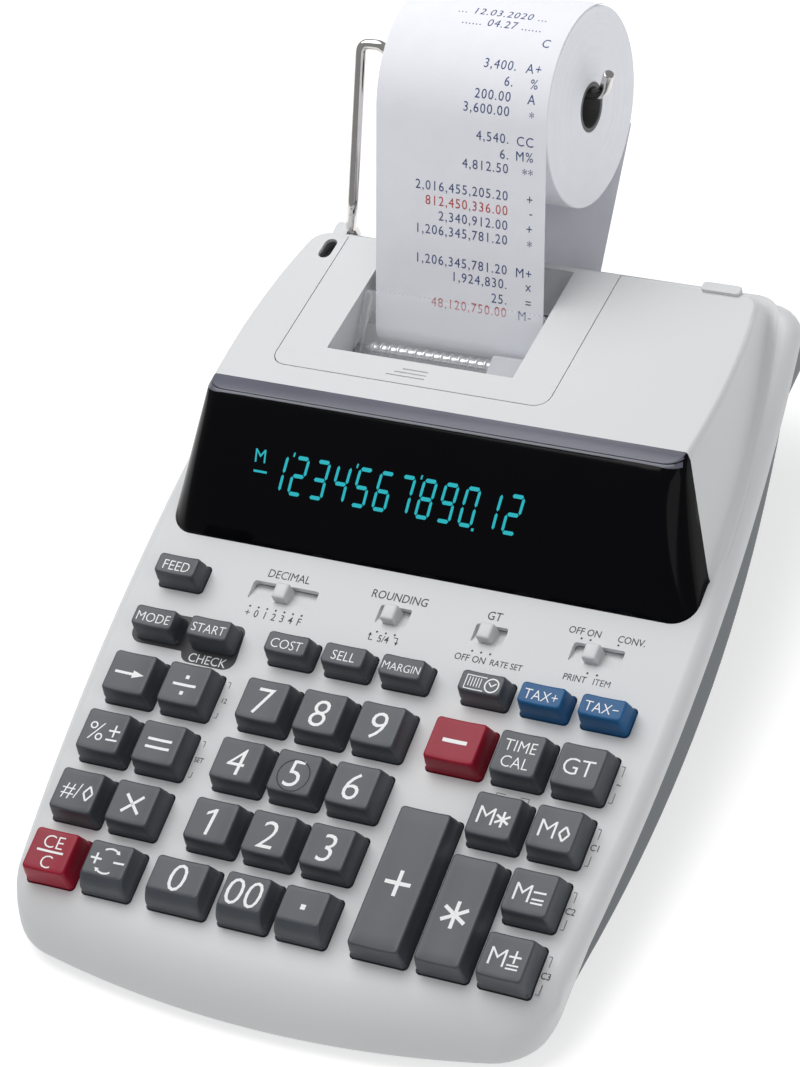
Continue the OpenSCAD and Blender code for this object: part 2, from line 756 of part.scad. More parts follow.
module roll_core() {
    color([0.45, 0.44, 0.44]) on_deck() translate([printer_x - paper_w / 2, roll_y, roll_z])
        rotate([0, 90, 0]) difference() {
            cylinder(r = core_r, h = paper_w);
            translate([0, 0, -1]) cylinder(r = core_hole_r, h = paper_w + 2);
        }
}

// Course of the paper in deck Y and Z: round the roll's front from its free end, down to the
// platen, round that, out through the inlet and back up to the roll
function tangent_heading(p, rp, q, rq) =
    heading(q - p) + asin((rq - rp) / norm(q - p));
function paper_course(t) =
    let (pc = [platen_y, platen_z], rc = [roll_y, roll_z], ic = [inlet_y - 1, inlet_z + inlet_bend_r],
         pr = platen_r + paper_gap + t, rr = roll_r + paper_gap + t, ir = inlet_bend_r + t,
         up = tangent_heading(pc, pr, rc, rr),
         out = -tangent_heading([pc[0], -pc[1]], pr, [ic[0], -ic[1]], ir),
         back = -tangent_heading([ic[0], -ic[1]], ir, [rc[0], -rc[1]], rr))
    concat(arc(rc, rr, paper_end_angle, up + 90, 24), arc(pc, pr, up + 90, 270 + out, 16),
           arc(ic, ir, 270 + out, 270 + back, 8), arc(rc, rr, back - 90, back - 86, 2));

module paper_tape() {
    outer = paper_course(paper_t);
    inner = paper_course(0);
    color(paper_colour) on_deck() across(printer_x - paper_w / 2, printer_x + paper_w / 2)
        polygon(concat(outer, [for (i = [len(inner) - 1:-1:0]) inner[i]]));
}

// ---- keys and switches ----

module rounded(x0, x1, y0, y1, r) {
    for (x = [x0 + r, x1 - r], y = [y0 + r, y1 - r]) translate([x, y]) circle(r = r, $fn = 16);
}

module key_cap(k) {
    side = 0.6;
    front = k[6] ? 5 : 1.4;
    color(k[5]) on_deck() translate([k[1], k[2], 0]) {
        hull() {
            translate([0, 0, -4]) linear_extrude(4.4) rounded(-k[3] / 2, k[3] / 2, 0, k[4], 1.2);
            if (k[6])
                translate([0, 0, 3.6]) linear_extrude(0.4)
                    rounded(-k[3] / 2 + side / 2, k[3] / 2 - side / 2, 0.6, k[4] - 0.5, 1);
            translate([0, 0, key_h - 0.4]) linear_extrude(0.4)
                rounded(-k[3] / 2 + side, k[3] / 2 - side, front, k[4] - 0.9, 1);
        }
        translate([0, k[4] / 2, -6]) cylinder(r = 2, h = 4);
    }
}

module switch_knob(s) {
    x = s[1] + s[3];
    color(housing_colour) on_deck() {
        hull() {
            translate([x - knob_w / 2, pocket_y + 0.9, 0.3]) cube([knob_w, 5.2, 0.6]);
            translate([x - knob_w / 2 + 0.5, pocket_y + 1.9, 2.6]) cube([knob_w - 1, 4, 0.4]);
        }
        translate([x - 1, pocket_y + 2.6, -7.2]) cube([2, 1.8, 7.8]);
    }
}

upper_housing();
lower_housing();
display_lens();
display_tube();
printer_cover();
tear_window();
printer_frame();
platen_roller();
carriage_screw();
print_carriage();
ink_roller();
main_board();
rubber_feet();
case_screws();
roll_arm();
paper_roll();
roll_core();
paper_tape();
for (k = KEYS) key_cap(k);
for (s = SWITCHES) switch_knob(s);
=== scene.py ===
"""Looks of a desk calculator with a roll printer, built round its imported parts.

Lengths are in millimetres in the deck frame: X to the user's right, Y up the key deck from the front
of the first key row, Z out of the deck. TO_ROW turns them into the row frame, in metres. The hood's
top has a frame of its own, (x, s, n): s runs down the slope from its front edge and n out of it.
"""

import math
import random

import bmesh
import bpy
from mathutils import Matrix, Vector


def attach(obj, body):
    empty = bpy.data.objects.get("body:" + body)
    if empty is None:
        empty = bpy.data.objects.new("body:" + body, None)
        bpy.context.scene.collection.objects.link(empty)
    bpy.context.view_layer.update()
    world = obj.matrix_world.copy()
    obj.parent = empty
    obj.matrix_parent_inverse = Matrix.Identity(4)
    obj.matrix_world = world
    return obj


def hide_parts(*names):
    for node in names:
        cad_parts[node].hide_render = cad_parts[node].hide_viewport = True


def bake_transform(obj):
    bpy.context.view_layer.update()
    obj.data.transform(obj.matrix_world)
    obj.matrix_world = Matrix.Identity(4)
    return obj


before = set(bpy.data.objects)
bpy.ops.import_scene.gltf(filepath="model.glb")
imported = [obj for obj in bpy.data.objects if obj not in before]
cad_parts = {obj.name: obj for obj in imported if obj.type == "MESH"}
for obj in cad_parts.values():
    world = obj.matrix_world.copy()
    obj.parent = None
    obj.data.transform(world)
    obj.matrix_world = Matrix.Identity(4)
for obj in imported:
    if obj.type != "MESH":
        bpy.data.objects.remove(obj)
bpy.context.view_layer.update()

# ---- frames ----

MM = 0.001
TILT = math.radians(8)      # of the deck to the desk
DECK_H = 17.7               # of the deck's origin above the desk
ORIGIN_Y = 135.2686         # from the deck's origin back to the row's, along the desk
TO_ROW = (Matrix.Scale(MM, 4) @ Matrix.Translation((0, -ORIGIN_Y, DECK_H))
          @ Matrix.Rotation(TILT, 4, "X"))
HOOD_Y, HOOD_Z, HOOD_FALL = 163.8, 26.5, math.radians(13.2)
HOOD = Matrix.Translation((0, HOOD_Y, HOOD_Z)) @ Matrix.Rotation(-HOOD_FALL, 4, "X")


# ---- materials ----

def add_node(tree, kind, **inputs):
    node = tree.nodes.new("ShaderNode" + kind)
    for socket, value in inputs.items():
        node.inputs[socket.replace("_", " ")].default_value = value
    return node


def material(name, colour, rough=0.5, vary=0.03, vary_scale=60, grain=0.0, grain_scale=2500,
             rough_vary=0.05, metallic=0.0, **sockets):
    """Principled material whose colour and roughness drift a little, with a fine moulded grain."""
    m = bpy.data.materials.new(name)
    m.use_nodes = True
    nt = m.node_tree
    bsdf = nt.nodes["Principled BSDF"]
    coord = add_node(nt, "TexCoord")
    drift = add_node(nt, "TexNoise", Scale=vary_scale, Detail=4)
    ramp = add_node(nt, "ValToRGB")
    low, high = ramp.color_ramp.elements
    low.position, high.position = 0.3, 0.7
    low.color = [c * (1 - vary) for c in colour] + [1]
    high.color = [min(1, c * (1 + vary)) for c in colour] + [1]
    spread = add_node(nt, "MapRange", To_Min=max(0.0, rough - rough_vary), To_Max=min(1.0, rough + rough_vary))
    links = [(coord.outputs["Object"], drift.inputs["Vector"]), (drift.outputs["Fac"], ramp.inputs["Fac"]),
             (drift.outputs["Fac"], spread.inputs["Value"]), (ramp.outputs["Color"], bsdf.inputs["Base Color"]),
             (spread.outputs["Result"], bsdf.inputs["Roughness"])]
    if grain:
        fine = add_node(nt, "TexNoise", Scale=grain_scale, Detail=3)
        bump = add_node(nt, "Bump", Strength=grain, Distance=0.0001)
        links += [(coord.outputs["Object"], fine.inputs["Vector"]), (fine.outputs["Fac"], bump.inputs["Height"]),
                  (bump.outputs["Normal"], bsdf.inputs["Normal"])]
    for start, end in links:
        nt.links.new(start, end)
    bsdf.inputs["Metallic"].default_value = metallic
    for socket, value in sockets.items():
        bsdf.inputs[socket.replace("_", " ")].default_value = value
    return m


housing_mat = material("housing_plastic", (0.69, 0.70, 0.71), 0.5, 0.012, 25, 0.35, 2200)
base_mat = material("base_plastic", (0.115, 0.13, 0.14), 0.5, 0.05, 40, 0.3, 2200)
key_mat = material("key_slate", (0.058, 0.066, 0.078), 0.42, 0.05, 90, 0.22, 2600)
red_mat = material("key_red", (0.30, 0.006, 0.026), 0.4, 0.05, 90, 0.2, 2600, Specular_IOR_Level=0.3)
blue_mat = material("key_blue", (0.01, 0.10, 0.26), 0.4, 0.05, 90, 0.2, 2600, Specular_IOR_Level=0.3)
ink_mat = material("legend_ink", (0.86, 0.87, 0.88), 0.45, 0.02, 400)
label_mat = material("label_ink", (0.02, 0.02, 0.024), 0.5, 0.1, 400)
faint_mat = material("faint_ink", (0.06, 0.062, 0.066), 0.5, 0.1, 400)
lens_mat = material("lens_gloss", (0.002, 0.002, 0.003), 0.12, 0.1, 30, rough_vary=0.02, IOR=1.49,
                    Specular_IOR_Level=0.1)
# Painted reflection: a lighter grey-blue for the lens's level top, in place of the bright surroundings it mirrors
lens_top_reflection_mat = material("lens_top_painted_reflection", (0.10, 0.105, 0.14), 0.3, 0.06, 30, rough_vary=0.03)
chrome_mat = material("chrome_wire", (0.66, 0.64, 0.62), 0.14, 0.04, 200, 0.05, 900, 0.05, 1.0)
steel_mat = material("bright_steel", (0.62, 0.62, 0.62), 0.25, 0.05, 200, 0.1, 1500, 0.08, 1.0)
paper_mat = material("paper", (0.90, 0.91, 0.965), 0.8, 0.015, 120, 0.5, 1800, Sheen_Weight=0.15)
core_mat = material("roll_core", (0.10, 0.10, 0.105), 0.6, 0.15, 300, 0.4, 900)
print_blue = material("print_blue", (0.045, 0.075, 0.22), 0.7, 0.25, 900)
print_red = material("print_red", (0.52, 0.06, 0.06), 0.7, 0.25, 900)
rubber_mat = material("black_rubber", (0.02, 0.02, 0.021), 0.65, 0.2, 200, 0.4, 1500)
printer_mat = material("printer_grey", (0.55, 0.56, 0.59), 0.45, 0.04, 80, 0.25, 2200)
board_mat = material("board_green", (0.012, 0.10, 0.045), 0.35, 0.2, 150, 0.2, 600)
tube_mat = material("tube_glass", (0.02, 0.045, 0.045), 0.15, 0.2, 200)
inker_mat = material("ink_foam", (0.04, 0.02, 0.09), 0.8, 0.3, 700, 0.6, 1500)
clear_mat = material("clear_plastic", (0.86, 0.88, 0.92), 0.15, 0.01, 60, rough_vary=0.04, Alpha=0.17)
digit_mat = material("display_digit", (0.01, 0.12, 0.14), 0.4, 0.1, 300,
                     Emission_Color=(0.012, 0.42, 0.48, 1), Emission_Strength=0.85)

# ---- mesh helpers ----

def arc(c, r, a0, a1, n):
    """Points on a circle in the plane, angles in degrees."""
    angles = [math.radians(a0 + (a1 - a0) * i / n) for i in range(n + 1)]
    return [Vector((c[0] + r * math.cos(a), c[1] + r * math.sin(a))) for a in angles]


def heading(v):
    return math.degrees(math.atan2(v[1], v[0]))


def meet(p, rp, q, rq):
    """Where a circle round p meets one round q, on the right of p to q."""
    d = (q - p).length
    a = (rp * rp - rq * rq + d * d) / (2 * d)
    h = math.sqrt(rp * rp - a * a)
    u = (q - p) / d
    return p + a * u + h * Vector((u[1], -u[0]))


def mirrored(right):
    """Closed outline from its right half, which starts and ends on the middle line."""
    return right + [Vector((-p[0], p[1])) for p in reversed(right)][1:-1]


def rounded_rect(x0, x1, y0, y1, r, n=4, along=1):
    """Closed outline, counter-clockwise, its sides in X split into a number of steps."""
    pts = []
    corners = ((x1 - r, y0 + r, -90), (x1 - r, y1 - r, 0), (x0 + r, y1 - r, 90), (x0 + r, y0 + r, 180))
    for cx, cy, a in corners:
        corner = arc((cx, cy), r, a, a + 90, n)
        if along > 1 and a in (-90, 90):
            far = Vector((x0 + r + x1 - r - cx, corner[0].y))
            pts += [far.lerp(corner[0], k / along) for k in range(1, along)]
        pts += corner
    return pts


def lofted(rings, cap_start=False, cap_end=False):
    """bmesh through closed rings of 3-D points of equal count."""
    bm = bmesh.new()
    grid = [[bm.verts.new(p) for p in ring] for ring in rings]
    n = len(rings[0])
    for a, b in zip(grid, grid[1:]):
        for i in range(n):
            j = (i + 1) % n
            bm.faces.new((a[i], a[j], b[j], b[i]))
    if cap_start:
        bm.faces.new(list(reversed(grid[0])))
    if cap_end:
        bm.faces.new(grid[-1])
    return bm


def level(outline, z):
    """Ring at one height from an outline in X and Y."""
    return [Vector((p[0], p[1], z)) for p in outline]


def prism(outline, z0, z1):
    return lofted([level(outline, z0), level(outline, z1)], cap_start=True, cap_end=True)


def across(profile, x0, x1):
    """Prism along X from an outline in Y and Z."""
    return lofted([[Vector((x, p[0], p[1])) for p in profile] for x in (x0, x1)],
                  cap_start=True, cap_end=True)


def joined(*parts):
    """One bmesh from several, which it uses up."""
    bm = bmesh.new()
    for part in parts:
        me = bpy.data.meshes.new("part")
        part.to_mesh(me)
        bm.from_mesh(me)
        bpy.data.meshes.remove(me)
        part.free()
    return bm


def moved(bm, matrix):
    bm.transform(matrix)
    return bm


def linked(name, bm, mats):
    me = bpy.data.meshes.new(name)
    bm.to_mesh(me)
    bm.free()
    for m in mats:
        me.materials.append(m)
    obj = bpy.data.objects.new(name, me)
    bpy.context.scene.collection.objects.link(obj)
    return obj


def raw_object(name, bm, mats):
    """Object from a bmesh, its faces turned outwards. An open shell's highest level face looks up."""
    bmesh.ops.recalc_face_normals(bm, faces=bm.faces)
    bm.normal_update()
    if any(e.is_boundary for e in bm.edges):
        flat = [f for f in bm.faces if abs(f.normal.z) > 0.5]
        if flat and max(flat, key=lambda f: f.calc_center_median().z).normal.z < 0:
            bmesh.ops.reverse_faces(bm, faces=bm.faces)
    return linked(name, bm, mats)


def modified(obj, kind, **settings):
    """Replaces the object's mesh by what a modifier makes of it."""
    mod = obj.modifiers.new("mod", kind)
    for key, value in settings.items():
        setattr(mod, key, value)
    deps = bpy.context.evaluated_depsgraph_get()
    me = bpy.data.meshes.new_from_object(obj.evaluated_get(deps))
    old = obj.data
    obj.modifiers.clear()
    obj.data = me
    bpy.data.meshes.remove(old)
    return obj


def solidify(obj, thickness):
    """Gives an open surface a wall on its inner side."""
    return modified(obj, "SOLIDIFY", thickness=thickness, offset=-1, use_even_offset=False, use_rim=True)


def cut(obj, bm, own=False):
    """Takes a bmesh away from an object. With own, the object may cross itself."""
    tool = raw_object("tool", bm, [])
    modified(obj, "BOOLEAN", object=tool, operation="DIFFERENCE", solver="EXACT", use_self=own)
    bpy.data.objects.remove(tool)
    return obj


def bevel(obj, width, angle=40, segments=2):
    return modified(obj, "BEVEL", width=width, segments=segments, limit_method="ANGLE",
                    angle_limit=math.radians(angle), use_clamp_overlap=True)


def smooth_up_to(me, angle):
    me.polygons.foreach_set("use_smooth", [True] * len(me.polygons))
    me.set_sharp_from_angle(angle=math.radians(angle))


def even_shading(obj, smooth=32):
    """Keeps a flat face flat where it meets small edge faces."""
    smooth_up_to(obj.data, smooth)
    return modified(obj, "WEIGHTED_NORMAL", keep_sharp=True, weight=100)


def place(obj, body, smooth=32, replaces=()):
    """Moves a finished mesh into the row frame, smooths it up to an angle and rides it on a body."""
    me = obj.data
    me.transform(TO_ROW)
    if not me.has_custom_normals:
        smooth_up_to(me, smooth)
    me.update()
    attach(obj, body)
    if replaces:
        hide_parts(*replaces)
    return obj


# ---- lettering ----

def text_bm(text, size, width=1.0, thin=0.0, spacing=1.0):
    """Flat text round its own middle, as a bmesh in X and Y."""
    cu = bpy.data.curves.new("text", "FONT")
    cu.body = text
    cu.size = size
    cu.offset = -thin
    cu.space_character = spacing
    cu.resolution_u = 3
    obj = bpy.data.objects.new("text", cu)
    bpy.context.scene.collection.objects.link(obj)
    deps = bpy.context.evaluated_depsgraph_get()
    me = bpy.data.meshes.new_from_object(obj.evaluated_get(deps))
    bm = bmesh.new()
    bm.from_mesh(me)
    bpy.data.objects.remove(obj)
    bpy.data.curves.remove(cu)
    bpy.data.meshes.remove(me)
    xs = [v.co.x for v in bm.verts] or [0]
    ys = [v.co.y for v in bm.verts] or [0]
    mid = Vector(((min(xs) + max(xs)) / 2, (min(ys) + max(ys)) / 2, 0))
    bmesh.ops.translate(bm, vec=-mid, verts=bm.verts)
    bmesh.ops.scale(bm, vec=(width, 1, 1), verts=bm.verts)
    return bm


def flat_bm(polys):
    """Flat polygons in X and Y as a bmesh."""
    bm = bmesh.new()
    for poly in polys:
        bm.faces.new([bm.verts.new((p[0], p[1], 0)) for p in poly])
    return bm


def stroke(points, width):
    """Flat polygons of constant width along a polyline."""
    out = []
    for a, b in zip(points, points[1:]):
        a, b = Vector(a), Vector(b)
        n = (b - a).normalized().orthogonal() * width / 2
        out.append([a - n, b - n, b + n, a + n])
    return out


def diced(bm, step):
    """Cuts flat lettering into small faces, so that it can follow a curved surface."""
    for axis in (0, 1):
        values = [v.co[axis] for v in bm.verts]
        if not values:
            return bm
        at = math.floor(min(values) / step) * step + step
        while at < max(values):
            co, no = [0, 0, 0], [0, 0, 0]
            co[axis], no[axis] = at, 1
            bmesh.ops.bisect_plane(bm, geom=bm.verts[:] + bm.edges[:] + bm.faces[:],
                                   plane_co=co, plane_no=no)
            at += step
    return bm


# ---- upper housing: rim and deck ----

BODY_W, SIDE_R, FRONT_R, CORNER_R, REAR_R = 190.0, 900.0, 380.0, 20.0, 12.0
FRONT_REACH, REAR_REACH, WIDEST_Y = 24.5, 235.0, 100.0
SHOULDER_R, ROLL_R, LIP_Z, PARTING_Z, WALL = 4.5, 22.0, -10.5, -4.5, 2.2
SEAM_FRONT, SEAM_REAR = -9, 15      # where the seam between the housings starts and ends its climb


def plan(side, front, n=(14, 9, 26, 6)):
    """Outline of the housing, inset at its sides and rear, and at its front."""
    sc, sr = Vector((BODY_W / 2 - SIDE_R, WIDEST_Y)), SIDE_R - side
    bc, br = Vector((0, FRONT_R - FRONT_REACH)), FRONT_R - front
    rc = CORNER_R - (side + front) / 3
    rr = REAR_R - side
    c = meet(sc, sr - rc, bc, br - rc)
    ry = REAR_REACH - side - rr
    r = Vector((sc[0] + math.sqrt((sr - rr) ** 2 - (ry - WIDEST_Y) ** 2), ry))
    right = (arc(bc, br, -90, heading(c - bc), n[0])[:-1]
             + arc(c, rc, heading(c - bc), heading(c - sc), n[1])[:-1]
             + arc(sc, sr, heading(c - sc), heading(r - sc), n[2])[:-1]
             + arc(r, rr, heading(r - sc), 90, n[3]) + [Vector((0, REAR_REACH - side))])
    return mirrored(right)


def roll_in(z):
    """How far the front edge's roll is inset at a height."""
    full = math.sqrt(ROLL_R ** 2 - (ROLL_R + LIP_Z + 0.3) ** 2)
    return max(0.0, full - math.sqrt(ROLL_R ** 2 - (ROLL_R + z) ** 2))


def seam_z(y):
    if y < SEAM_FRONT:
        return LIP_Z
    if y > SEAM_REAR:
        return PARTING_Z
    return LIP_Z + (PARTING_Z - LIP_Z) * (y - SEAM_FRONT) / (SEAM_REAR - SEAM_FRONT)


def rim_rings(wall=0.0):
    """Rings of the rim's outside, from its lower edge up, or of its inside with a wall given."""
    rings = []
    levels = {}
    for i in range(9):
        ring = []
        for k, p in enumerate(plan(wall, wall)):
            z = round(seam_z(p[1]) + (PARTING_Z - seam_z(p[1])) * i / 8, 2)
            if z not in levels:
                levels[z] = plan(wall, roll_in(z) + wall)
            ring.append(Vector((*levels[z][k], z)))
        rings.append(ring)
    for a in range(9, 91, 9):
        t = math.radians(a)
        z = -SHOULDER_R * (1 - math.sin(t))
        inset = (SHOULDER_R - wall) * (1 - math.cos(t)) + wall
        ring = plan(inset, roll_in(z) + wall)
        rings.append([Vector((p[0], p[1], PARTING_Z + (SHOULDER_R - wall) * math.sin(t))) for p in ring])
    return rings


# Keys: pitch, first column of each block, and sizes as width and depth
COL, ROW, UPPER_ROW, TOP_ROW = 19.3, 20.3, 83.7, 102.2
LEFT, DIGIT, RIGHT, WIDE_X = -75.4, -29.3, 35.5, 34.5
KW, KD, KEY_H, KEY_GAP = 16.2, 15.7, 7.6, 0.45
SMALL, FULL, WIDE, ZERO = (14.9, 9), (KW, KD), (18, KD), (19.4, KD)
KEYS = []       # name, middle X, front Y, width, depth, colour, sloped front


def key_row(y, size, *keys, mat=key_mat, sloped=False):
    """Adds keys of one size in a row, each given by its name and its middle in X."""
    KEYS.extend(("key_" + name, x, y, *size, mat, sloped) for name, x in keys)


key_row(TOP_ROW, SMALL, ("feed", LEFT))
key_row(UPPER_ROW, SMALL, ("mode", LEFT), ("start", LEFT + COL), ("cost", DIGIT), ("sell", DIGIT + COL),
        ("margin", DIGIT + 2 * COL), ("clock", RIGHT))
key_row(UPPER_ROW, SMALL, ("tax_plus", RIGHT + COL), ("tax_minus", RIGHT + 2 * COL), mat=blue_mat)
key_row(3 * ROW, FULL, ("right_shift", LEFT), ("divide", LEFT + COL), ("7", DIGIT), ("8", DIGIT + COL),
        ("9", DIGIT + 2 * COL))
key_row(3 * ROW, WIDE, ("minus", WIDE_X), mat=red_mat)
key_row(3 * ROW, FULL, ("time_calendar", RIGHT + COL), ("grand_total", RIGHT + 2 * COL))
key_row(2 * ROW, FULL, ("percent", LEFT), ("equals", LEFT + COL), ("4", DIGIT), ("5", DIGIT + COL),
        ("6", DIGIT + 2 * COL), ("memory_total", RIGHT + COL), ("memory_subtotal", RIGHT + 2 * COL))
key_row(ROW, FULL, ("item_subtotal", LEFT), ("multiply", LEFT + COL), ("1", DIGIT), ("2", DIGIT + COL),
        ("3", DIGIT + 2 * COL), ("memory_minus", RIGHT + 2 * COL))
key_row(0, FULL, ("clear", LEFT), mat=red_mat)
key_row(0, FULL, ("sign_change", LEFT + COL), sloped=True)
key_row(0, ZERO, ("0", DIGIT - 2.9), sloped=True)
key_row(0, FULL, ("00", DIGIT + COL), ("point", DIGIT + 2 * COL), sloped=True)
key_row(0, (18, 46.9), ("plus", WIDE_X))
key_row(0, (KW, ROW + KD), ("total", RIGHT + COL))
key_row(0, FULL, ("memory_plus", RIGHT + 2 * COL))

# Slide switches: name, middle of the pocket in X, pocket width, knob's offset
SWITCHES = [("switch_decimal", -41.2, 22.4, 0), ("switch_rounding", -3.6, 10.4, -0.6),
            ("switch_grand_total", 28.4, 10.4, -0.6), ("switch_print", 63.2, 16.4, -1.1)]
POCKET_Y, POCKET_D = 103.8, 6.4
HOLE_Z = (-6, 6)            # span of the tools that cut the deck
BAY = (-70, 70, 150, 228)   # opening under the hood

rim = lofted(list(reversed(rim_rings(WALL))) + rim_rings(), cap_start=True, cap_end=True)
bmesh.ops.remove_doubles(rim, verts=rim.verts, dist=0.002)
upper = raw_object("upper_housing_shell", rim, [housing_mat])

holes = []
for _, x, y, w, d, _, _ in KEYS:
    opening = rounded_rect(x - w / 2 - KEY_GAP, x + w / 2 + KEY_GAP, y - KEY_GAP, y + d + KEY_GAP, 1.5)
    holes.append(prism(opening, *HOLE_Z))
for _, x, w, _ in SWITCHES:
    pocket = rounded_rect(x - w / 2, x + w / 2, POCKET_Y, POCKET_Y + POCKET_D, 0.8)
    holes.append(prism(pocket, *HOLE_Z))
holes.append(prism(rounded_rect(*BAY, 3), *HOLE_Z))
cut(upper, joined(*holes))
bevel(upper, 0.3, 50)

# ---- hood and lens: one surface, split along the plane where they meet ----

LENS_FOOT, LIP_Y, LIP_TOP = 121.5, 158.0, 28.3
BULGE, BOW_Y, BOW_Z = 3.2, 0.61, 0.79       # of the lens: depth of its bow, and which way that goes
FOOT_R, EDGE_R, LENS_EDGE_R = 3.0, 1.5, 0.5
FLARE_Y, FLARE_RUN = 136, 10                # where the fillet at the hood's foot grows in, behind the lens
F_TOP = 28.5
# Half width, radius of the sides' bow, front, front corner's radius and rear, at the foot and at F_TOP
HOOD_FOOT, HOOD_HEAD = (88.2, 400, LENS_FOOT, 8, 232.5), (79.3, 2400, LIP_Y, 6, 222.9)
HOOD_STEPS = (10, 12, 30, 5)                # along the front, round a corner, along a side, round a rear corner
COVER_X, COVER_S, COVER_T, SEAM = (-63.8, 29.7), (8.3, 66.4), 2.2, 0.3


def hood_top(y):
    rear = HOOD_Z - (y - HOOD_Y) * math.tan(HOOD_FALL)
    lip = HOOD_Z + (HOOD_Y - y) * (LIP_TOP - HOOD_Z) / (HOOD_Y - LIP_Y)
    return rear if y >= HOOD_Y else lip


def hood_plan(half, bow, front, corner, rear, widest=130, rear_r=6):
    """Right half of the hood's outline, from the middle of its front."""
    n = HOOD_STEPS
    sc = Vector((half - bow, widest))
    c = Vector((sc[0] + math.sqrt((bow - corner) ** 2 - (front + corner - widest) ** 2), front + corner))
    r = Vector((sc[0] + math.sqrt((bow - rear_r) ** 2 - (rear - rear_r - widest) ** 2), rear - rear_r))
    straight = [Vector((c[0] * i / n[0], front)) for i in range(n[0])]
    return (straight + arc(c, corner, -90, heading(c - sc), n[1])[:-1]
            + arc(sc, bow, heading(c - sc), heading(r - sc), n[2])[:-1]
            + arc(r, rear_r, heading(r - sc), 90, n[3]) + [Vector((0, rear))])


def hood_surface():
    """Hood and lens as one open surface, in columns from the foot to the top's edge."""
    n = HOOD_STEPS
    foot, top = hood_plan(*HOOD_FOOT), hood_plan(*HOOD_HEAD)
    columns = []
    for i, (f, t) in enumerate(zip(foot, top)):
        rise = t - f
        share = 1.0
        for _ in range(12):
            share = hood_top(f[1] + rise[1] * share) / F_TOP
        if i < n[0]:
            bulge, side = 1.0, 0.0
        elif i < n[0] + n[1]:
            side = (i - n[0] + 1) / (n[1] + 1)
            bulge = math.cos(side * math.pi / 2) ** 2
        else:
            bulge, side = 0.0, 1.0
        if i == 0 or i == len(foot) - 1:
            out = Vector((0, -1 if i == 0 else 1))
        else:
            tangent = foot[i + 1] - foot[i - 1]
            out = Vector((tangent[1], -tangent[0])).normalized()
        flare = FOOT_R * min(1, max(0, (f[1] - FLARE_Y) / FLARE_RUN)) if side else 0.0
        edge = LENS_EDGE_R + (EDGE_R - LENS_EDGE_R) * side

        def on_wall(z):
            g = z / F_TOP
            k = min(1, z / (share * F_TOP))
            p = f + rise * g
            b = BULGE * 4 * k * (1 - k) * bulge
            return Vector((p[0], p[1] - BOW_Y * b, z + BOW_Z * b))

        height = share * F_TOP
        column = []
        for a in (0, 22.5, 45, 67.5, 90):
            turned = math.radians(a)
            p = on_wall(FOOT_R * (1 - math.cos(turned)))
            p += Vector((out[0], out[1], 0)) * flare * (1 - math.sin(turned))
            if a == 0:
                p.z -= 0.03
            column.append(p)
        for k in range(1, 12):
            column.append(on_wall(FOOT_R + (height - edge - FOOT_R) * k / 11))
        last = on_wall(height)
        for a in (22.5, 45, 67.5, 90):
            turned = math.radians(a)
            x = last.x - out[0] * edge * (1 - math.cos(turned))
            y = last.y - out[1] * edge * (1 - math.cos(turned))
            column.append(Vector((x, y, hood_top(y) - edge * (1 - math.sin(turned)))))
        columns.append(column)
    # put a point of the top outline on the crease
    crease = min(range(n[0] + n[1], len(columns)), key=lambda i: abs(columns[i][-1].y - HOOD_Y))
    columns[crease][-1].y = HOOD_Y
    columns[crease][-1].z = HOOD_Z
    left = [[Vector((-p.x, p.y, p.z)) for p in c] for c in reversed(columns)][1:-1]
    around = columns + left
    bm = lofted([[c[k] for c in around] for k in range(len(columns[0]))])
    bm.verts.ensure_lookup_table()
    m, count = len(columns), len(around)
    start = (len(columns[0]) - 1) * count
    rim_verts = [bm.verts[start + i] for i in range(count)]
    # close the top with strips from side to side
    for i in range(m - 1):
        a, b = rim_verts[i], rim_verts[i + 1]
        c, d = rim_verts[-(i + 1) % count], rim_verts[-i % count]
        corners = [v for k, v in enumerate((a, b, c, d)) if v not in (a, b, c, d)[:k]]
        if len(corners) > 2:
            bm.faces.new(corners)
    bmesh.ops.remove_doubles(bm, verts=bm.verts, dist=0.01)
    return bm


LENS_BACK, LENS_T, SHELL_T = 137.4, 1.6, 1.2
REFLECTION_Y, REFLECTION_Z, REFLECTION_LEVEL = 156, 25.6, 0.83     # painted reflection: the grey strip on the lens's level top stands in for the light it mirrors
surface = hood_surface()
lens_bm = surface.copy()
plane = dict(plane_co=(0, LENS_BACK, 0), plane_no=(0, -1, 1), dist=0.001)
bmesh.ops.bisect_plane(lens_bm, geom=lens_bm.verts[:] + lens_bm.edges[:] + lens_bm.faces[:],
                       clear_inner=True, **plane)
bmesh.ops.bisect_plane(surface, geom=surface.verts[:] + surface.edges[:] + surface.faces[:],
                       clear_outer=True, **plane)
lens = raw_object("display_lens_shell", lens_bm, [lens_mat, lens_top_reflection_mat])
solidify(lens, LENS_T)
bevel(lens, 0.35, 40)
# Painted reflection: the lens's upward-facing faces near its top get the lighter grey-blue
for poly in lens.data.polygons:
    if poly.normal.z > REFLECTION_LEVEL and poly.center.y > REFLECTION_Y and poly.center.z > REFLECTION_Z:
        poly.material_index = 1

hood = solidify(raw_object("hood_shell", surface, [housing_mat]), SHELL_T)
cover_hole = rounded_rect(COVER_X[0] - SEAM, COVER_X[1] + SEAM, COVER_S[0] - SEAM, 90, 5)
arm_rest = [Vector((p[0] - 68.4, p[1])) for p in rounded_rect(-2.1, 2.1, 55, 63.6, 2.09, 6)]
cut(hood, moved(prism(cover_hole, -8, 20), HOOD), True)
cut(hood, moved(prism(arm_rest, -8, 8), HOOD), True)
bevel(hood, 0.3, 45)

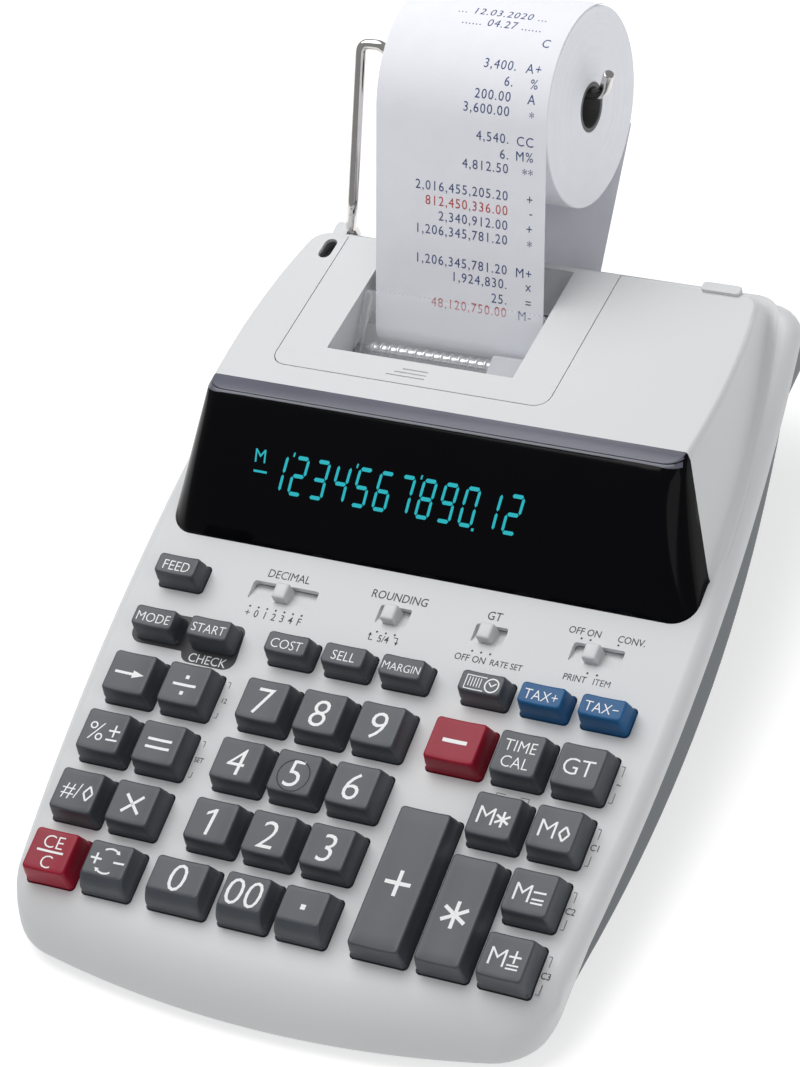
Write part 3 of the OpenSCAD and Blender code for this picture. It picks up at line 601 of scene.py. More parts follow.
# Small parts moulded with the housing: switch floors, cover ledge, tab, hinge lug
ARM_PIVOT, LUG_R = (238.8, -6), 3.8
extras = []
for _, x, w, _ in SWITCHES:
    ramp = [(POCKET_Y - 0.2, -0.05), (POCKET_Y + 5.6, -2.6), (POCKET_Y + 6.6, -2.6),
            (POCKET_Y + 6.6, -3.6), (POCKET_Y - 0.2, -1.5)]
    extras.append(across(ramp, x - w / 2 - 0.3, x + w / 2 + 0.3))
for x0, x1, s0, s1 in ((COVER_X[0] - 1.8, COVER_X[0] + 1.8, 10, 63.5),
                       (COVER_X[1] - 1.8, COVER_X[1] + 1.8, 10, 63.5),
                       (COVER_X[0] - 1.5, COVER_X[1] + 1.5, COVER_S[0] - 1.8, COVER_S[0] + 1.8)):
    ledge = rounded_rect(x0, x1, s0, s1, 0.5)
    extras.append(moved(prism(ledge, -COVER_T - 1.6, -COVER_T - 0.05), HOOD))
extras.append(moved(prism(rounded_rect(57, 69.5, 64.5, 68.1, 1), -1, 1.2), HOOD))
lug_profile = ([Vector(ARM_PIVOT) + p for p in arc((0, 0), LUG_R, -90, 90, 14)]
               + [Vector((232, -2.2)), Vector((232, -9.8))])
extras.append(across(lug_profile, -78.5, -73.5))
parts = raw_object("housing_details", joined(*extras), [housing_mat])
bevel(parts, 0.3, 45)
for obj in (upper, hood, parts):
    even_shading(obj)
    place(obj, "chassis", replaces=["upper_housing"])
place(lens, "chassis", replaces=["display_lens"])

# ---- lower housing ----

BASE_FRONT, BASE_REAR, BASE_HALF, FLOOR_Z = -8, 200, 82, 3.0      # outline of the floor, and its level
BASE_FRONT_IN, BASE_REAR_IN = 8, 20                               # how far its sides draw in at each end
BAND_DEPTH, BAND_END_Y, EDGE_ROUND = 12.5, 212, 2.0
PRINTER_X = -16.5


def band_z(y):
    """Lower edge of the upright band under the seam."""
    return PARTING_Z - BAND_DEPTH * (1 - ((y - WIDEST_Y) / 112) ** 2)


def base_ring(ring):
    """Foot of the lower housing under each point of a ring: pulled in towards the base's outline."""
    out = []
    for p in ring:
        y = min(max(p[1], BASE_FRONT), BASE_REAR)
        if y > WIDEST_Y:
            half = BASE_HALF - BASE_REAR_IN * min(1.0, (y - WIDEST_Y) / 100) ** 2
        else:
            half = BASE_HALF - BASE_FRONT_IN * ((WIDEST_Y - y) / 108) ** 2
        x = max(-half, min(half, p[0] * half / 92))
        out.append(Vector((x, y, 0)))
    return out


def lower_rings():
    """Rings of the lower housing, from the seam down to the floor's middle."""
    ring = plan(1.0, 1.0)
    to_deck = TO_ROW.inverted() @ Matrix.Scale(MM, 4)
    top = [Vector((p[0], p[1], seam_z(p[1]) + 0.02)) for p in ring]
    floor = [to_deck @ Vector((p[0], p[1] - ORIGIN_Y, FLOOR_Z)) for p in base_ring(ring)]
    low = []
    for p, f in zip(top, floor):
        z = band_z(p.y) if -10 < p.y < BAND_END_Y else p.z - 0.5
        if p.y > BASE_REAR:
            z = min(z, -4.5 - 15.5 * (p.y - BASE_REAR) / 35)
        low.append(Vector((p.x, p.y, max(min(z, p.z - 0.4), f.z + 1))))
    rings = [top, [a.lerp(b, 0.5) for a, b in zip(top, low)]]
    for k in (0.0, 0.25, 0.5, 0.75, 1.0):
        # rounded edge between the band and the taper
        edge = []
        for p, a, f in zip(top, low, floor):
            up = a + Vector((0, 0, min(EDGE_ROUND, 0.4 * (p.z - a.z))))
            down = a.lerp(f, min(0.3, EDGE_ROUND / max(EDGE_ROUND, (f - a).length)))
            edge.append((1 - k) ** 2 * up + 2 * k * (1 - k) * a + k * k * down)
        rings.append(edge)
    for k in (0.35, 0.7, 0.93):
        rings.append([a.lerp(f, k) for a, f in zip(low, floor)])
    rings.append([f + Vector((0, 0, 0.3)) for f in floor])
    rings.append([f.lerp(Vector((0, 96, f.z)), 0.012) for f in floor])
    return rings


lower = raw_object("lower_housing_shell", lofted(lower_rings(), cap_end=True), [base_mat])
lower.data.flip_normals()       # the bowl is open, so its outside faces down and its wall grows inward
solidify(lower, SHELL_T)
SOCKET, SOCKET_R, RING_W, JACK_D = Vector((55, 234.6, -11.5)), 2.75, 1.35, 12
SCREWS, SCREW_R, POST_R = [(-42.6, 30), (21.4, 30), (-60, 167.7), (60, 167.7)], 3.2, 4.4
BEHIND = Matrix.Translation(SOCKET) @ Matrix.Rotation(math.radians(90), 4, "X")
PAPER_SLOT, SLOT_HALF = [(224, -16.8), (247, -16.8), (247, -8.4), (224, -8.4)], 31


def circle(centre, r, n):
    return arc(centre, r, 0, 360, n)[:-1]


def lathed(profile, centre=(0, 0), n=32):
    """Closed ring from an outline in radius and height."""
    rings = [level(circle(centre, r, n), z) for r, z in profile]
    return lofted(rings + rings[:1])


def no_seam(bm):
    bmesh.ops.remove_doubles(bm, verts=bm.verts, dist=0.001)
    return bm


def post(centre):
    """A screw's counterbored post, from just inside the level floor up to the lid."""
    foot = (3.9 - DECK_H - centre[1] * math.sin(TILT)) / math.cos(TILT)
    profile = [(SCREW_R, foot), (POST_R, foot), (POST_R, -12), (1.6, -12), (1.6, -13.6), (SCREW_R, -13.6)]
    return no_seam(lathed(profile, centre, 24))


cut(lower, across(PAPER_SLOT, PRINTER_X - SLOT_HALF, PRINTER_X + SLOT_HALF))
cut(lower, moved(prism(circle((0, 0), SOCKET_R + 1.4, 32), -3, 14), BEHIND))
cut(lower, joined(*(prism(circle(p, SCREW_R, 24), -60, -10) for p in SCREWS)))
jack_ring = [(SOCKET_R, JACK_D), (SOCKET_R, 0.9), (SOCKET_R + 0.3, 0.6), (SOCKET_R + RING_W, 0.6),
             (SOCKET_R + RING_W, JACK_D)]
jack = joined(no_seam(lathed(jack_ring)), prism(circle((0, 0), 1.0, 20), 3, JACK_D),
              prism(circle((0, 0), SOCKET_R, 32), JACK_D - 0.5, JACK_D))
place(raw_object("power_jack", moved(jack, BEHIND), [rubber_mat]), "chassis", smooth=40)
posts = joined(*(post(p) for p in SCREWS))
place(raw_object("lower_housing_posts", posts, [base_mat]), "chassis", smooth=40)
place(lower, "chassis", replaces=["lower_housing"])

# ---- keys ----

KEY_FOOT_Z, KEY_DISH, KEY_EDGE_R = 1.15, 0.5, 0.55
KEY_CORNER, KEY_TOP_CORNER = (1.3, 5, 12), (1.2, 5, 12)     # radius, steps round it, steps along the front


def on_top(ring, top_z, lift=0.0):
    return [Vector((p[0], p[1], top_z(p[0], p[1]) + lift)) for p in ring]


def key_shape(w, d, sloped):
    """Rings of a key cap with a dished top, its front edge at Y 0, and the height of its top."""
    side_in, front_in, back_in = (1.0 if d > 10 else 0.55), (3.4 if sloped else 1.1), 1.1

    def insets(h):
        f = h ** 2.6 if sloped else h
        return side_in * h, front_in * f, back_in * h

    def top_z(x, y):
        return KEY_H - KEY_DISH * (1 - min(1, abs(x) / (w / 2 - side_in)) ** 2)

    rings = []
    for z, grow in ((-4.0, 0.0), (0.9, 0.0), (KEY_FOOT_Z, -0.25)):
        rings.append(level(rounded_rect(-w / 2 - grow, w / 2 + grow, -grow, d + grow, *KEY_CORNER), z))
    steps = [0.2, 0.35, 0.5, 0.65, 0.8, 0.9] if sloped else [0.3, 0.6, 0.9]
    for h in steps:
        s, f, b = insets(h)
        ring = rounded_rect(-w / 2 + s, w / 2 - s, f, d - b, *KEY_CORNER)
        z = KEY_FOOT_Z + (KEY_H - KEY_FOOT_Z) * h
        rings.append([Vector((p[0], p[1], z - (KEY_H - top_z(p[0], p[1])) * h)) for p in ring])
    s, f, b = insets(1.0)
    for a in (30, 60, 90):
        t = math.radians(a)
        grow = KEY_EDGE_R * (1 - math.cos(t))
        ring = rounded_rect(-w / 2 + s + grow, w / 2 - s - grow, f + grow * (0.4 if sloped else 1),
                            d - b - grow, *KEY_TOP_CORNER)
        drop = KEY_EDGE_R * (1 - math.sin(t))
        rings.append(on_top(ring, top_z, -drop))
    last = rings[-1]
    mid = Vector((0, (f + d - b) / 2, 0))
    for k in (0.8, 0.6, 0.4, 0.2, 0.04):
        rings.append(on_top([mid + (p - mid) * k for p in last], top_z))
    return rings, top_z, (f + d - b) / 2


def bar(cx, cy, w, h):
    """Flat rectangle round a middle."""
    x0, x1, y0, y1 = cx - w / 2, cx + w / 2, cy - h / 2, cy + h / 2
    return [(x0, y0), (x1, y0), (x1, y1), (x0, y1)]


def plus_sign(cx, cy, size, width):
    return [bar(cx, cy, size, width), bar(cx, cy + (size + width) / 4, width, (size - width) / 2),
            bar(cx, cy - (size + width) / 4, width, (size - width) / 2)]


def star(cx, cy, r, width, arms=3):
    out = []
    for i in range(arms):
        a = math.radians(90 + 180 * i / arms)
        v = Vector((math.cos(a), math.sin(a))) * r
        out += stroke([Vector((cx, cy)) - v, Vector((cx, cy)) + v], width)
    return out


def diamond(cx, cy, w, h, width):
    pts = [(cx, cy - h / 2), (cx + w / 2, cy), (cx, cy + h / 2), (cx - w / 2, cy), (cx, cy - h / 2)]
    return stroke(pts, width)


def curved_arrow(cx, cy, r, a0, a1, width):
    pts = arc((cx, cy), r, a0, a1, 10)
    tip = pts[-1]
    u = (pts[-1] - pts[-2]).normalized()
    n = Vector((-u[1], u[0]))
    return stroke(pts, width) + [[tip - n * 0.75, tip + u * 1.3, tip + n * 0.75]]


DIGIT_SIZE, DIGIT_LEAN, INK_LIFT = 12.8, 0.08, 0.035
SERIF_OF_1 = [(-0.2, 4.3), (-2.5, 2.9), (-2.5, 1.9), (-0.2, 3.2)]
LOCATOR_R, LOCATOR_H = (4.9, 5.1, 5.3), (-0.03, 0.2, -0.03)      # raised ring round the 5


def legend_parts(name):
    """Lettering of a key, as (text parts, polygons): text parts are (text, size, x, y)."""
    name = name[4:]
    t = {"feed": [("FEED", 4.7, 0, 0)], "mode": [("MODE", 4.5, 0, 0)],
         "start": [("START", 4.3, 0, 0)], "cost": [("COST", 4.5, 0, 0)],
         "sell": [("SELL", 4.5, 0, 0)], "margin": [("MARGIN", 3.65, 0.1, 0)],
         "tax_plus": [("TAX+", 4.7, 0, 0)], "tax_minus": [("TAX−", 4.7, 0, 0)],
         "time_calendar": [("TIME", 5.3, 0, 2.6), ("CAL", 5.3, 0, -2.6)],
         "grand_total": [("GT", 7.6, 0, 0)], "memory_total": [("M", 8, -2.3, 0)],
         "memory_subtotal": [("M", 8, -2.2, 0)], "memory_minus": [("M", 8, -2.3, 0)],
         "memory_plus": [("M", 8, -2.3, 0)], "percent": [("%", 8.6, -2.3, 0)],
         "item_subtotal": [("#/", 7.4, -1.9, 0)], "clear": [("CE", 6, 0, 3.2), ("C", 6, 0, -3.3)],
         "00": [("00", 12.4, 0, 0)]}.get(name, [])
    if name.isdigit() and name != "00":
        t = [(name, DIGIT_SIZE, 0, 0)]
    w = 0.95
    g = {"divide": [bar(0, 0, 7.8, 0.85), bar(0, 2.7, 1.2, 1.2), bar(0, -2.7, 1.2, 1.2)],
         "multiply": stroke([(-2.9, -2.9), (2.9, 2.9)], w) + stroke([(-2.9, 2.9), (2.9, -2.9)], w),
         "minus": [bar(0, 0, 7.8, 1.2)], "plus": plus_sign(0, -1, 8.2, 1.2),
         "total": star(0, -1, 4.3, 1.15), "equals": [bar(0, 1.3, 8.2, 0.85), bar(0, -1.3, 8.2, 0.85)],
         "right_shift": [bar(-1.5, 0, 6.6, 0.85), [(1.2, -1.3), (5.2, 0), (1.2, 1.3)]],
         "point": [bar(0, 0, 1.6, 1.6)],
         "memory_total": star(3.0, -0.3, 2.5, 0.75),
         "memory_subtotal": diamond(3.2, -0.6, 3.2, 4.6, 0.65),
         "memory_minus": [bar(2.9, 0.8, 4, 0.6), bar(2.9, -1.4, 3.8, 0.55), bar(2.9, -2.6, 3.8, 0.55)],
         "memory_plus": plus_sign(2.9, 0.9, 3.9, 0.6)
         + [bar(2.9, -1.7, 3.8, 0.5), bar(2.9, -2.8, 3.8, 0.5)],
         "percent": plus_sign(3.7, 0.9, 4, 0.6) + [bar(3.7, -2.1, 4, 0.6)],
         "item_subtotal": diamond(3.9, 0, 3.2, 4.8, 0.62), "clear": [bar(0, 0.05, 9, 0.7)],
         "sign_change": plus_sign(-3.9, 0.2, 3.6, 0.65) + [bar(3.9, 0, 3.8, 0.65)]
         + curved_arrow(0, 0.3, 3.7, 125, 55, 0.6) + curved_arrow(0, -0.3, 3.7, -55, -125, 0.6),
         "clock": [bar(-5, 0, 0.3, 4.4), bar(-2, 2.2, 6.3, 0.3), bar(-2, -2.2, 6.3, 0.3)]
         + [bar(-4 + 0.9 * i, 0.2, 0.28, 3.0) for i in range(5)]
         + stroke(arc((3.4, 0), 2.2, 0, 360, 20), 0.45) + stroke([(2.2, 0.9), (3.3, -0.3), (4.7, 0.8)], 0.4)}
    return t, g.get(name, [])


for name, kx, ky, w, d, mat, sloped in KEYS:
    rings, top_z, mid_y = key_shape(w, d, sloped)
    cap = lofted(rings, cap_start=True, cap_end=True)
    bmesh.ops.recalc_face_normals(cap, faces=cap.faces)
    texts, polys = legend_parts(name)
    ink = bmesh.new()
    pieces = [flat_bm(polys)] if polys else []
    for text, size, tx, ty in texts:
        part = text_bm(text, size, 1.0 if size > 5.5 else 0.92, thin=0.008 * size)
        if text == "1":
            part = joined(part, flat_bm([SERIF_OF_1]))
        lean = DIGIT_LEAN if text.isdigit() else 0
        for v in part.verts:
            v.co.x += tx + lean * v.co.y
            v.co.y += ty
        pieces.append(part)
    if pieces:
        ink = diced(joined(*pieces), 1.2)
        for v in ink.verts:
            v.co.y += mid_y - 0.3
            v.co.z = top_z(v.co.x, v.co.y) + INK_LIFT
        for f in ink.faces:
            f.material_index = 1
    if name == "key_5":
        locator = lofted([on_top(circle((0, mid_y - 0.9), r, 40), top_z, h) for r, h in zip(LOCATOR_R, LOCATOR_H)])
        ink = joined(ink, locator)
    whole = joined(cap, ink)
    bmesh.ops.translate(whole, vec=(kx, ky, 0), verts=whole.verts)
    place(linked(name + "_cap", whole, [mat, ink_mat]), name + "_cap", replaces=[name], smooth=50)

# ---- switch knobs ----

KNOB_HALF, KNOB_Y = 2.3, (104.3, 109.9)
# Height of each ring of a knob, and its insets in X and Y
KNOB_RINGS = ((-2.6, 0, 0), (2.1, 0.05, 0.1), (2.6, 0.15, 0.2), (2.85, 0.4, 0.45), (3.0, 0.9, 0.95))
for name, x, w, off in SWITCHES:
    rings = []
    for z, gx, gy in KNOB_RINGS:
        x0, x1 = x + off - KNOB_HALF + gx, x + off + KNOB_HALF - gx
        rings.append(level(rounded_rect(x0, x1, KNOB_Y[0] + gy, KNOB_Y[1] - gy, 0.5, 4), z))
    knob = raw_object(name + "_knob", lofted(rings, cap_start=True, cap_end=True), [housing_mat])
    place(knob, name + "_knob", replaces=[name], smooth=40)

# ---- CAD parts that keep their shape ----

FINISH = {"display_tube": tube_mat, "printer_frame": printer_mat, "platen_roller": rubber_mat,
          "carriage_screw": steel_mat, "print_carriage": printer_mat, "ink_roller": inker_mat,
          "main_board": board_mat, "rubber_feet": rubber_mat, "case_screws": steel_mat}
for node, mat in FINISH.items():
    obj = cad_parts[node]
    obj.data.materials.clear()
    obj.data.materials.append(mat)
    weld = obj.modifiers.new("weld", "WELD")
    weld.merge_threshold = 0.00001
    mod = obj.modifiers.new("bevel", "BEVEL")
    mod.width = 0.25 * MM
    mod.segments = 2
    mod.limit_method = "ANGLE"
    mod.angle_limit = math.radians(40)
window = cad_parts["tear_window"]
window.data.materials.clear()
window.data.materials.append(clear_mat)

# ---- printer cover ----

RECESS_X, RECESS_S, WELL_T = (-48.5, 14.8), (17.8, 64.8), 1.5
GRIP_S, GRIP_PITCH = 11, 1.5        # three grooves near the cover's front edge
SCOOP_C = (213.6, 18.5)             # axis of the curved floor of the well
plate = rounded_rect(*COVER_X, COVER_S[0], COVER_S[0] + 20, 4.7)
plate = [p if p.y < COVER_S[0] + 10 else Vector((COVER_X[p.x > PRINTER_X], COVER_S[1])) for p in plate]
plate = [p for k, p in enumerate(plate) if (p - plate[k - 1]).length > 0.01]
cover = raw_object("printer_cover_plate", moved(prism(plate, -COVER_T, 0), HOOD), [housing_mat])
cut(cover, moved(prism(rounded_rect(*RECESS_X, *RECESS_S, 0.4), -8, 8), HOOD))
grooves = []
for i in range(3):
    s0 = GRIP_S + GRIP_PITCH * i
    grooves.append(prism(rounded_rect(-25 + 2.2 * i, -12, s0, s0 + 0.5, 0.2), -0.35, 1))
cut(cover, moved(joined(*grooves), HOOD))
bevel(cover, 0.25, 50)
even_shading(cover)
place(cover, "cover", replaces=["printer_cover"])
side = [(182, hood_top(182) - 1.4), (224.2, hood_top(224.2) - 1.4), (224.2, 5.5), (196, 5.5), (184, 9)]
front = [(179.4, hood_top(179.4) - 0.9), (180.4, hood_top(180.4) - 0.9), (184.6, 9.3), (183, 9.3)]
scoop = arc(SCOOP_C, 16.4, -84, -33, 16) + [(227.6, 10.6)] + arc(SCOOP_C, 15, -30, -84, 16)
well = [across(side, x, x + WELL_T) for x in (RECESS_X[0] - WELL_T - 0.2, RECESS_X[1] + 0.2)]
well += [across(profile, RECESS_X[0] - WELL_T / 2, RECESS_X[1] + WELL_T / 2) for profile in (front, scoop)]
place(raw_object("printer_cover_well", joined(*well), [housing_mat]), "cover", smooth=30)

# ---- paper ----

PAPER_W, PAPER_T = 57.5, 0.25
PLATEN, PLATEN_R = Vector((205.7, 1.9)), 6.0
ROLL, ROLL_RADIUS, CORE_R, CORE_HOLE = Vector((270.2, 37.3)), 31.0, 7.8, 6.4
INLET, INLET_R = Vector((236.0, -5.0)), 6.0
PAPER_GAP = 0.3
ROLL_STEPS, END_STEPS = 40, 4       # of the strip over the roll, and of the web's last few degrees on it


def tangent_heading(p, rp, q, rq):
    """Heading of the line that touches a circle round p and one round q."""
    return heading(q - p) + math.degrees(math.asin((rq - rp) / (q - p).length))


def flip(v):
    return Vector((v[0], -v[1]))


def paper_course(t):
    """Course of the strip, from the roll down to the platen, and of the web from there back to the roll."""
    pr, rr, ir = PLATEN_R + PAPER_GAP + t, ROLL_RADIUS + PAPER_GAP + t, INLET_R + t
    up = tangent_heading(PLATEN, pr, ROLL, rr)
    out = -tangent_heading(flip(PLATEN), pr, flip(INLET), ir)
    back = -tangent_heading(flip(INLET), ir, flip(ROLL), rr)
    over = arc(ROLL, rr, 35, up + 90, ROLL_STEPS)
    strip_end = arc(PLATEN, pr, up + 90, up + 90, 1)[0]
    straight = [over[-1].lerp(strip_end, k / 24) for k in range(1, 24)]
    under = arc(PLATEN, pr, up + 90, 270 + out, 30)
    bend = arc(INLET, ir, 270 + out, 270 + back, 10)
    last = arc(ROLL, rr, back - 90, back - 86, END_STEPS)
    web = under + [under[-1].lerp(bend[0], k / 12) for k in range(1, 12)] + bend
    web += [bend[-1].lerp(last[0], k / 16) for k in range(1, 16)] + last
    return over + straight + [strip_end], web


def band(course_out, course_in, x0, x1, n=8):
    """Strip of paper between two courses."""
    rings = []
    for o, i in zip(course_out, course_in):
        xs = [x0 + (x1 - x0) * k / n for k in range(n + 1)]
        rings.append([Vector((x, *o)) for x in xs] + [Vector((x, *i)) for x in reversed(xs)])
    return lofted(rings, cap_start=True, cap_end=True)


X0, X1 = PRINTER_X - PAPER_W / 2, PRINTER_X + PAPER_W / 2
strip_out, web_out = paper_course(PAPER_T)
strip_in, web_in = paper_course(0)
strip = raw_object("paper_strip", band(strip_out, strip_in, X0, X1), [paper_mat])
web = raw_object("paper_web", band(web_out, web_in, X0, X1), [paper_mat])

# Printed lines on the strip: distance from the tear edge along the paper, figures, mark, red
LINES = [(4.3, "48,120,750.00", "M-", 1), (8.6, "25.", "=", 0), (13.3, "1,924,830.", "x", 0),
         (17.8, "1,206,345,781.20", "M+", 0), (27.2, "1,206,345,781.20", "*", 0),
         (31.8, "2,340,912.00", "+", 0), (36.4, "812,450,336.00", "-", 1), (41, "2,016,455,205.20", "+", 0),
         (49.4, "4,812.50", "**", 0), (54, "6.", "M%", 0), (58.6, "4,540.", "CC", 0), (67, "3,600.00", "*", 0),
         (71.6, "200.00", "A", 0), (76.2, "6.", "%", 0), (80.8, "3,400.", "A+", 0), (89.6, "", "C", 0),
         (95, "...... 04.27 ......", "", 0), (99.6, "... 12.03.2020 ...", "", 0)]
FIGURES_X, DATE_X, MARK_X, DATE_FROM = X1 - 12.5, X1 - 9, X1 - 4.2, 90     # right-hand ends of the columns
path = list(reversed(strip_out))
lengths = [0.0]
for a, b in zip(path, path[1:]):
    lengths.append(lengths[-1] + (b - a).length)
TEAR_AT, PRINT_LIFT = 5.9, 0.03


def on_paper(x, s, lift):
    """Point on the paper's face, s along it from the platen."""
    k = max(i for i in range(len(lengths) - 1) if lengths[i] <= max(0, s))
    f = (s - lengths[k]) / (lengths[k + 1] - lengths[k])
    p = path[k].lerp(path[k + 1], f)
    u = (path[k + 1] - path[k]).normalized()
    return Vector((x, p[0] - u[1] * lift, p[1] + u[0] * lift))


printed = {0: [], 1: []}
for s, figures, mark, red in LINES:
    for text, right, colour in ((figures, FIGURES_X if s < DATE_FROM else DATE_X, red), (mark, MARK_X, 0)):
        if text:
            bm = text_bm(text, 4.25, 0.92, spacing=1.16)
            half = max(v.co.x for v in bm.verts)
            bmesh.ops.translate(bm, vec=(right - half, s + TEAR_AT, 0), verts=bm.verts)
            printed[colour].append(bm)
strip_pieces = [strip]
for name, bms, mat in (("paper_print_blue", printed[0], print_blue), ("paper_print_red", printed[1], print_red)):
    bm = diced(joined(*bms), 1.5)
    for v in bm.verts:
        v.co = on_paper(v.co.x, v.co.y, PRINT_LIFT)
    strip_pieces.append(raw_object(name, bm, [mat]))


def paper_piece(obj):
    """Moves a piece of paper into the row frame and smooths it. It rides on no body, so it stays put at the platen
    and at the roll.
    """
    me = obj.data
    me.transform(TO_ROW)
    smooth_up_to(me, 40)
    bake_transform(obj)


for obj in strip_pieces:
    paper_piece(obj)
paper_piece(web)
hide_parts("paper_tape")
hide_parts("paper_tape")

# Roll: wound sides with a slight step at each turn
rng = random.Random(7)
half, TURNS, STEP = PAPER_W / 2, 44, 0.16
radii = [CORE_R + (ROLL_RADIUS - 0.35 - CORE_R) * (i + 1) / TURNS for i in range(TURNS)]
profile = [(-half, CORE_R)] + [(-half + rng.random() * STEP, r) for r in radii]
profile += [(-half + 0.3, ROLL_RADIUS), (half - 0.3, ROLL_RADIUS)]
profile += [(half - rng.random() * STEP, r) for r in reversed(radii)] + [(half, CORE_R)]


def revolved(profile, n):
    """Closed ring round the roll's axis, from an outline in X and radius."""
    rings = []
    for x, r in profile:
        rings.append([Vector((PRINTER_X + x, ROLL[0] + r * math.cos(2 * math.pi * k / n),
                              ROLL[1] + r * math.sin(2 * math.pi * k / n))) for k in range(n)])
    bm = lofted(rings + rings[:1])
    bmesh.ops.remove_doubles(bm, verts=bm.verts, dist=0.0005)
    return bm


roll = raw_object("paper_roll_wound", revolved(profile, 96), [paper_mat])
place(roll, "roll", replaces=["paper_roll"], smooth=35)
core_profile = [(-half, CORE_HOLE + 0.2), (-half, CORE_R - 0.1), (half, CORE_R - 0.1),
                (half, CORE_HOLE + 0.2), (half - 0.2, CORE_HOLE), (-half + 0.2, CORE_HOLE)]
core = raw_object("roll_core_tube", revolved(core_profile, 64), [core_mat])
place(core, "roll", replaces=["roll_core"], smooth=35)

# ---- wire arm ----

WIRE_R = 1.75
ARM = [(-79.5, *ARM_PIVOT), (-71.5, *ARM_PIVOT), (-71.5, 238.4, 0), (-66.1, 237.3, 12.5), (-66.2, 276, 47.6),
       (-60, 276.6, 46.9), (X0 - 4, 272.6, 40.7), (X1 + 4, 272.6, 40.7), (X1 + 8.2, 274.2, 50.4)]
ARM_BEND = [0, 2.5, 4, 6, 3.2, 4, 5, 7.5, 0]


def filleted(points, radii, n=10):
    """Path through points, its corners rounded."""
    pts = [Vector(p) for p in points]
    out = [pts[0]]
    for a, b, c, r in zip(pts, pts[1:], pts[2:], radii[1:]):
        u, v = (b - a).normalized(), (c - b).normalized()
        turn = u.angle(v)
        run = min(r * math.tan(turn / 2), 0.48 * (b - a).length, 0.48 * (c - b).length)
        p, q = b - u * run, b + v * run
        for k in range(n + 1):
            t = k / n
            out.append((1 - t) ** 2 * p + 2 * t * (1 - t) * b + t * t * q)
    return out + [pts[-1]]


def tube(path, radius, n=20):
    rings = []
    normal = (path[1] - path[0]).orthogonal().normalized()
    for i, p in enumerate(path):
        t = (path[min(i + 1, len(path) - 1)] - path[max(i - 1, 0)]).normalized()
        normal = (normal - t * normal.dot(t)).normalized()
        side = t.cross(normal)
        rings.append([p + radius * (normal * math.cos(2 * math.pi * k / n) + side * math.sin(2 * math.pi * k / n))
                      for k in range(n)])
    return lofted(rings, cap_start=True, cap_end=True)


arm = raw_object("roll_arm_wire", tube(filleted(ARM, ARM_BEND), WIRE_R), [chrome_mat])
bevel(arm, 0.5, 60, 3)
place(arm, "arm", replaces=["roll_arm"], smooth=40)

# ---- display figures ----

SEG_H, SEG_W, SEG_T, LENS_LENGTH = 7.0, 3.4, 0.76, 46.1
SEGMENTS = {"0": "abcdef", "1": "bc", "2": "abged", "3": "abgcd", "4": "fgbc", "5": "afgcd", "6": "afgedc",
            "7": "abc", "8": "abcdefg", "9": "abcdfg"}


def seg_polys(ch):
    """Segments of a digit round its middle, as pointed bars."""
    h, w = SEG_H / 2, SEG_W / 2
    lines = {"a": ((-w, h), (w, h)), "b": ((w, h), (w, 0)), "c": ((w, 0), (w, -h)), "d": ((-w, -h), (w, -h)),
             "e": ((-w, 0), (-w, -h)), "f": ((-w, h), (-w, 0)), "g": ((-w, 0), (w, 0))}
    out = []
    for s in SEGMENTS[ch]:
        a, b = (Vector(p) for p in lines[s])
        u = (b - a).normalized()
        n = Vector((-u[1], u[0])) * SEG_T / 2
        point = u * SEG_T / 2
        a, b = a + u * 0.15, b - u * 0.15
        out.append([a, a + n + point, b + n - point, b, b - n - point, a - n + point])
    return out


def lens_point(x, v, lift):
    """Point on the lens face, v up its slope from its foot."""
    k = v / LENS_LENGTH
    b = BULGE * 4 * k * (1 - k) + lift
    z = LIP_TOP * k
    return Vector((x, LENS_FOOT + (LIP_Y - LENS_FOOT) * z / F_TOP - BOW_Y * b, z + BOW_Z * b))


figures = []
READING = ["1'", "2", "3", "4'", "5", "6", "7'", "8", "9", "0.", "1", "2"]
DIGIT_X, DIGIT_PITCH, DIGIT_FOOT, DIGIT_TOP, DIGIT_SLANT, DIGIT_WIDEN = -49.8, 7.22, 18.2, 30.2, 0.19, 1.18
SLANTED = Matrix(((1, DIGIT_SLANT, 0, 0), (0, 1, 0, 0), (0, 0, 1, 0), (0, 0, 0, 1)))
for i, cell in enumerate(READING):
    k = (DIGIT_TOP - DIGIT_FOOT - SEG_T) / SEG_H
    polys = [[Vector((p[0] * DIGIT_WIDEN, p[1] * k)) for p in poly] for poly in seg_polys(cell[0])]
    if "'" in cell:
        polys += [bar(3.9, 6.3, 0.55, 1.3)]
    if "." in cell:
        polys += [bar(2.9, -6.6, 0.8, 0.9)]
    middle = Matrix.Translation((DIGIT_X + DIGIT_PITCH * i, (DIGIT_FOOT + DIGIT_TOP) / 2, 0))
    figures.append(moved(flat_bm(polys), middle @ SLANTED))
figures.append(moved(text_bm("M", 6.0, 0.95), Matrix.Translation((-56.2, 28.4, 0))))
figures.append(flat_bm([bar(-55.8, 23.6, 4.6, 0.7)]))
digits = diced(joined(*figures), 2.0)
for v in digits.verts:
    v.co = lens_point(v.co.x, v.co.y, 0.08)
place(raw_object("display_figures", digits, [digit_mat]), "chassis")

# ---- printing on the deck ----

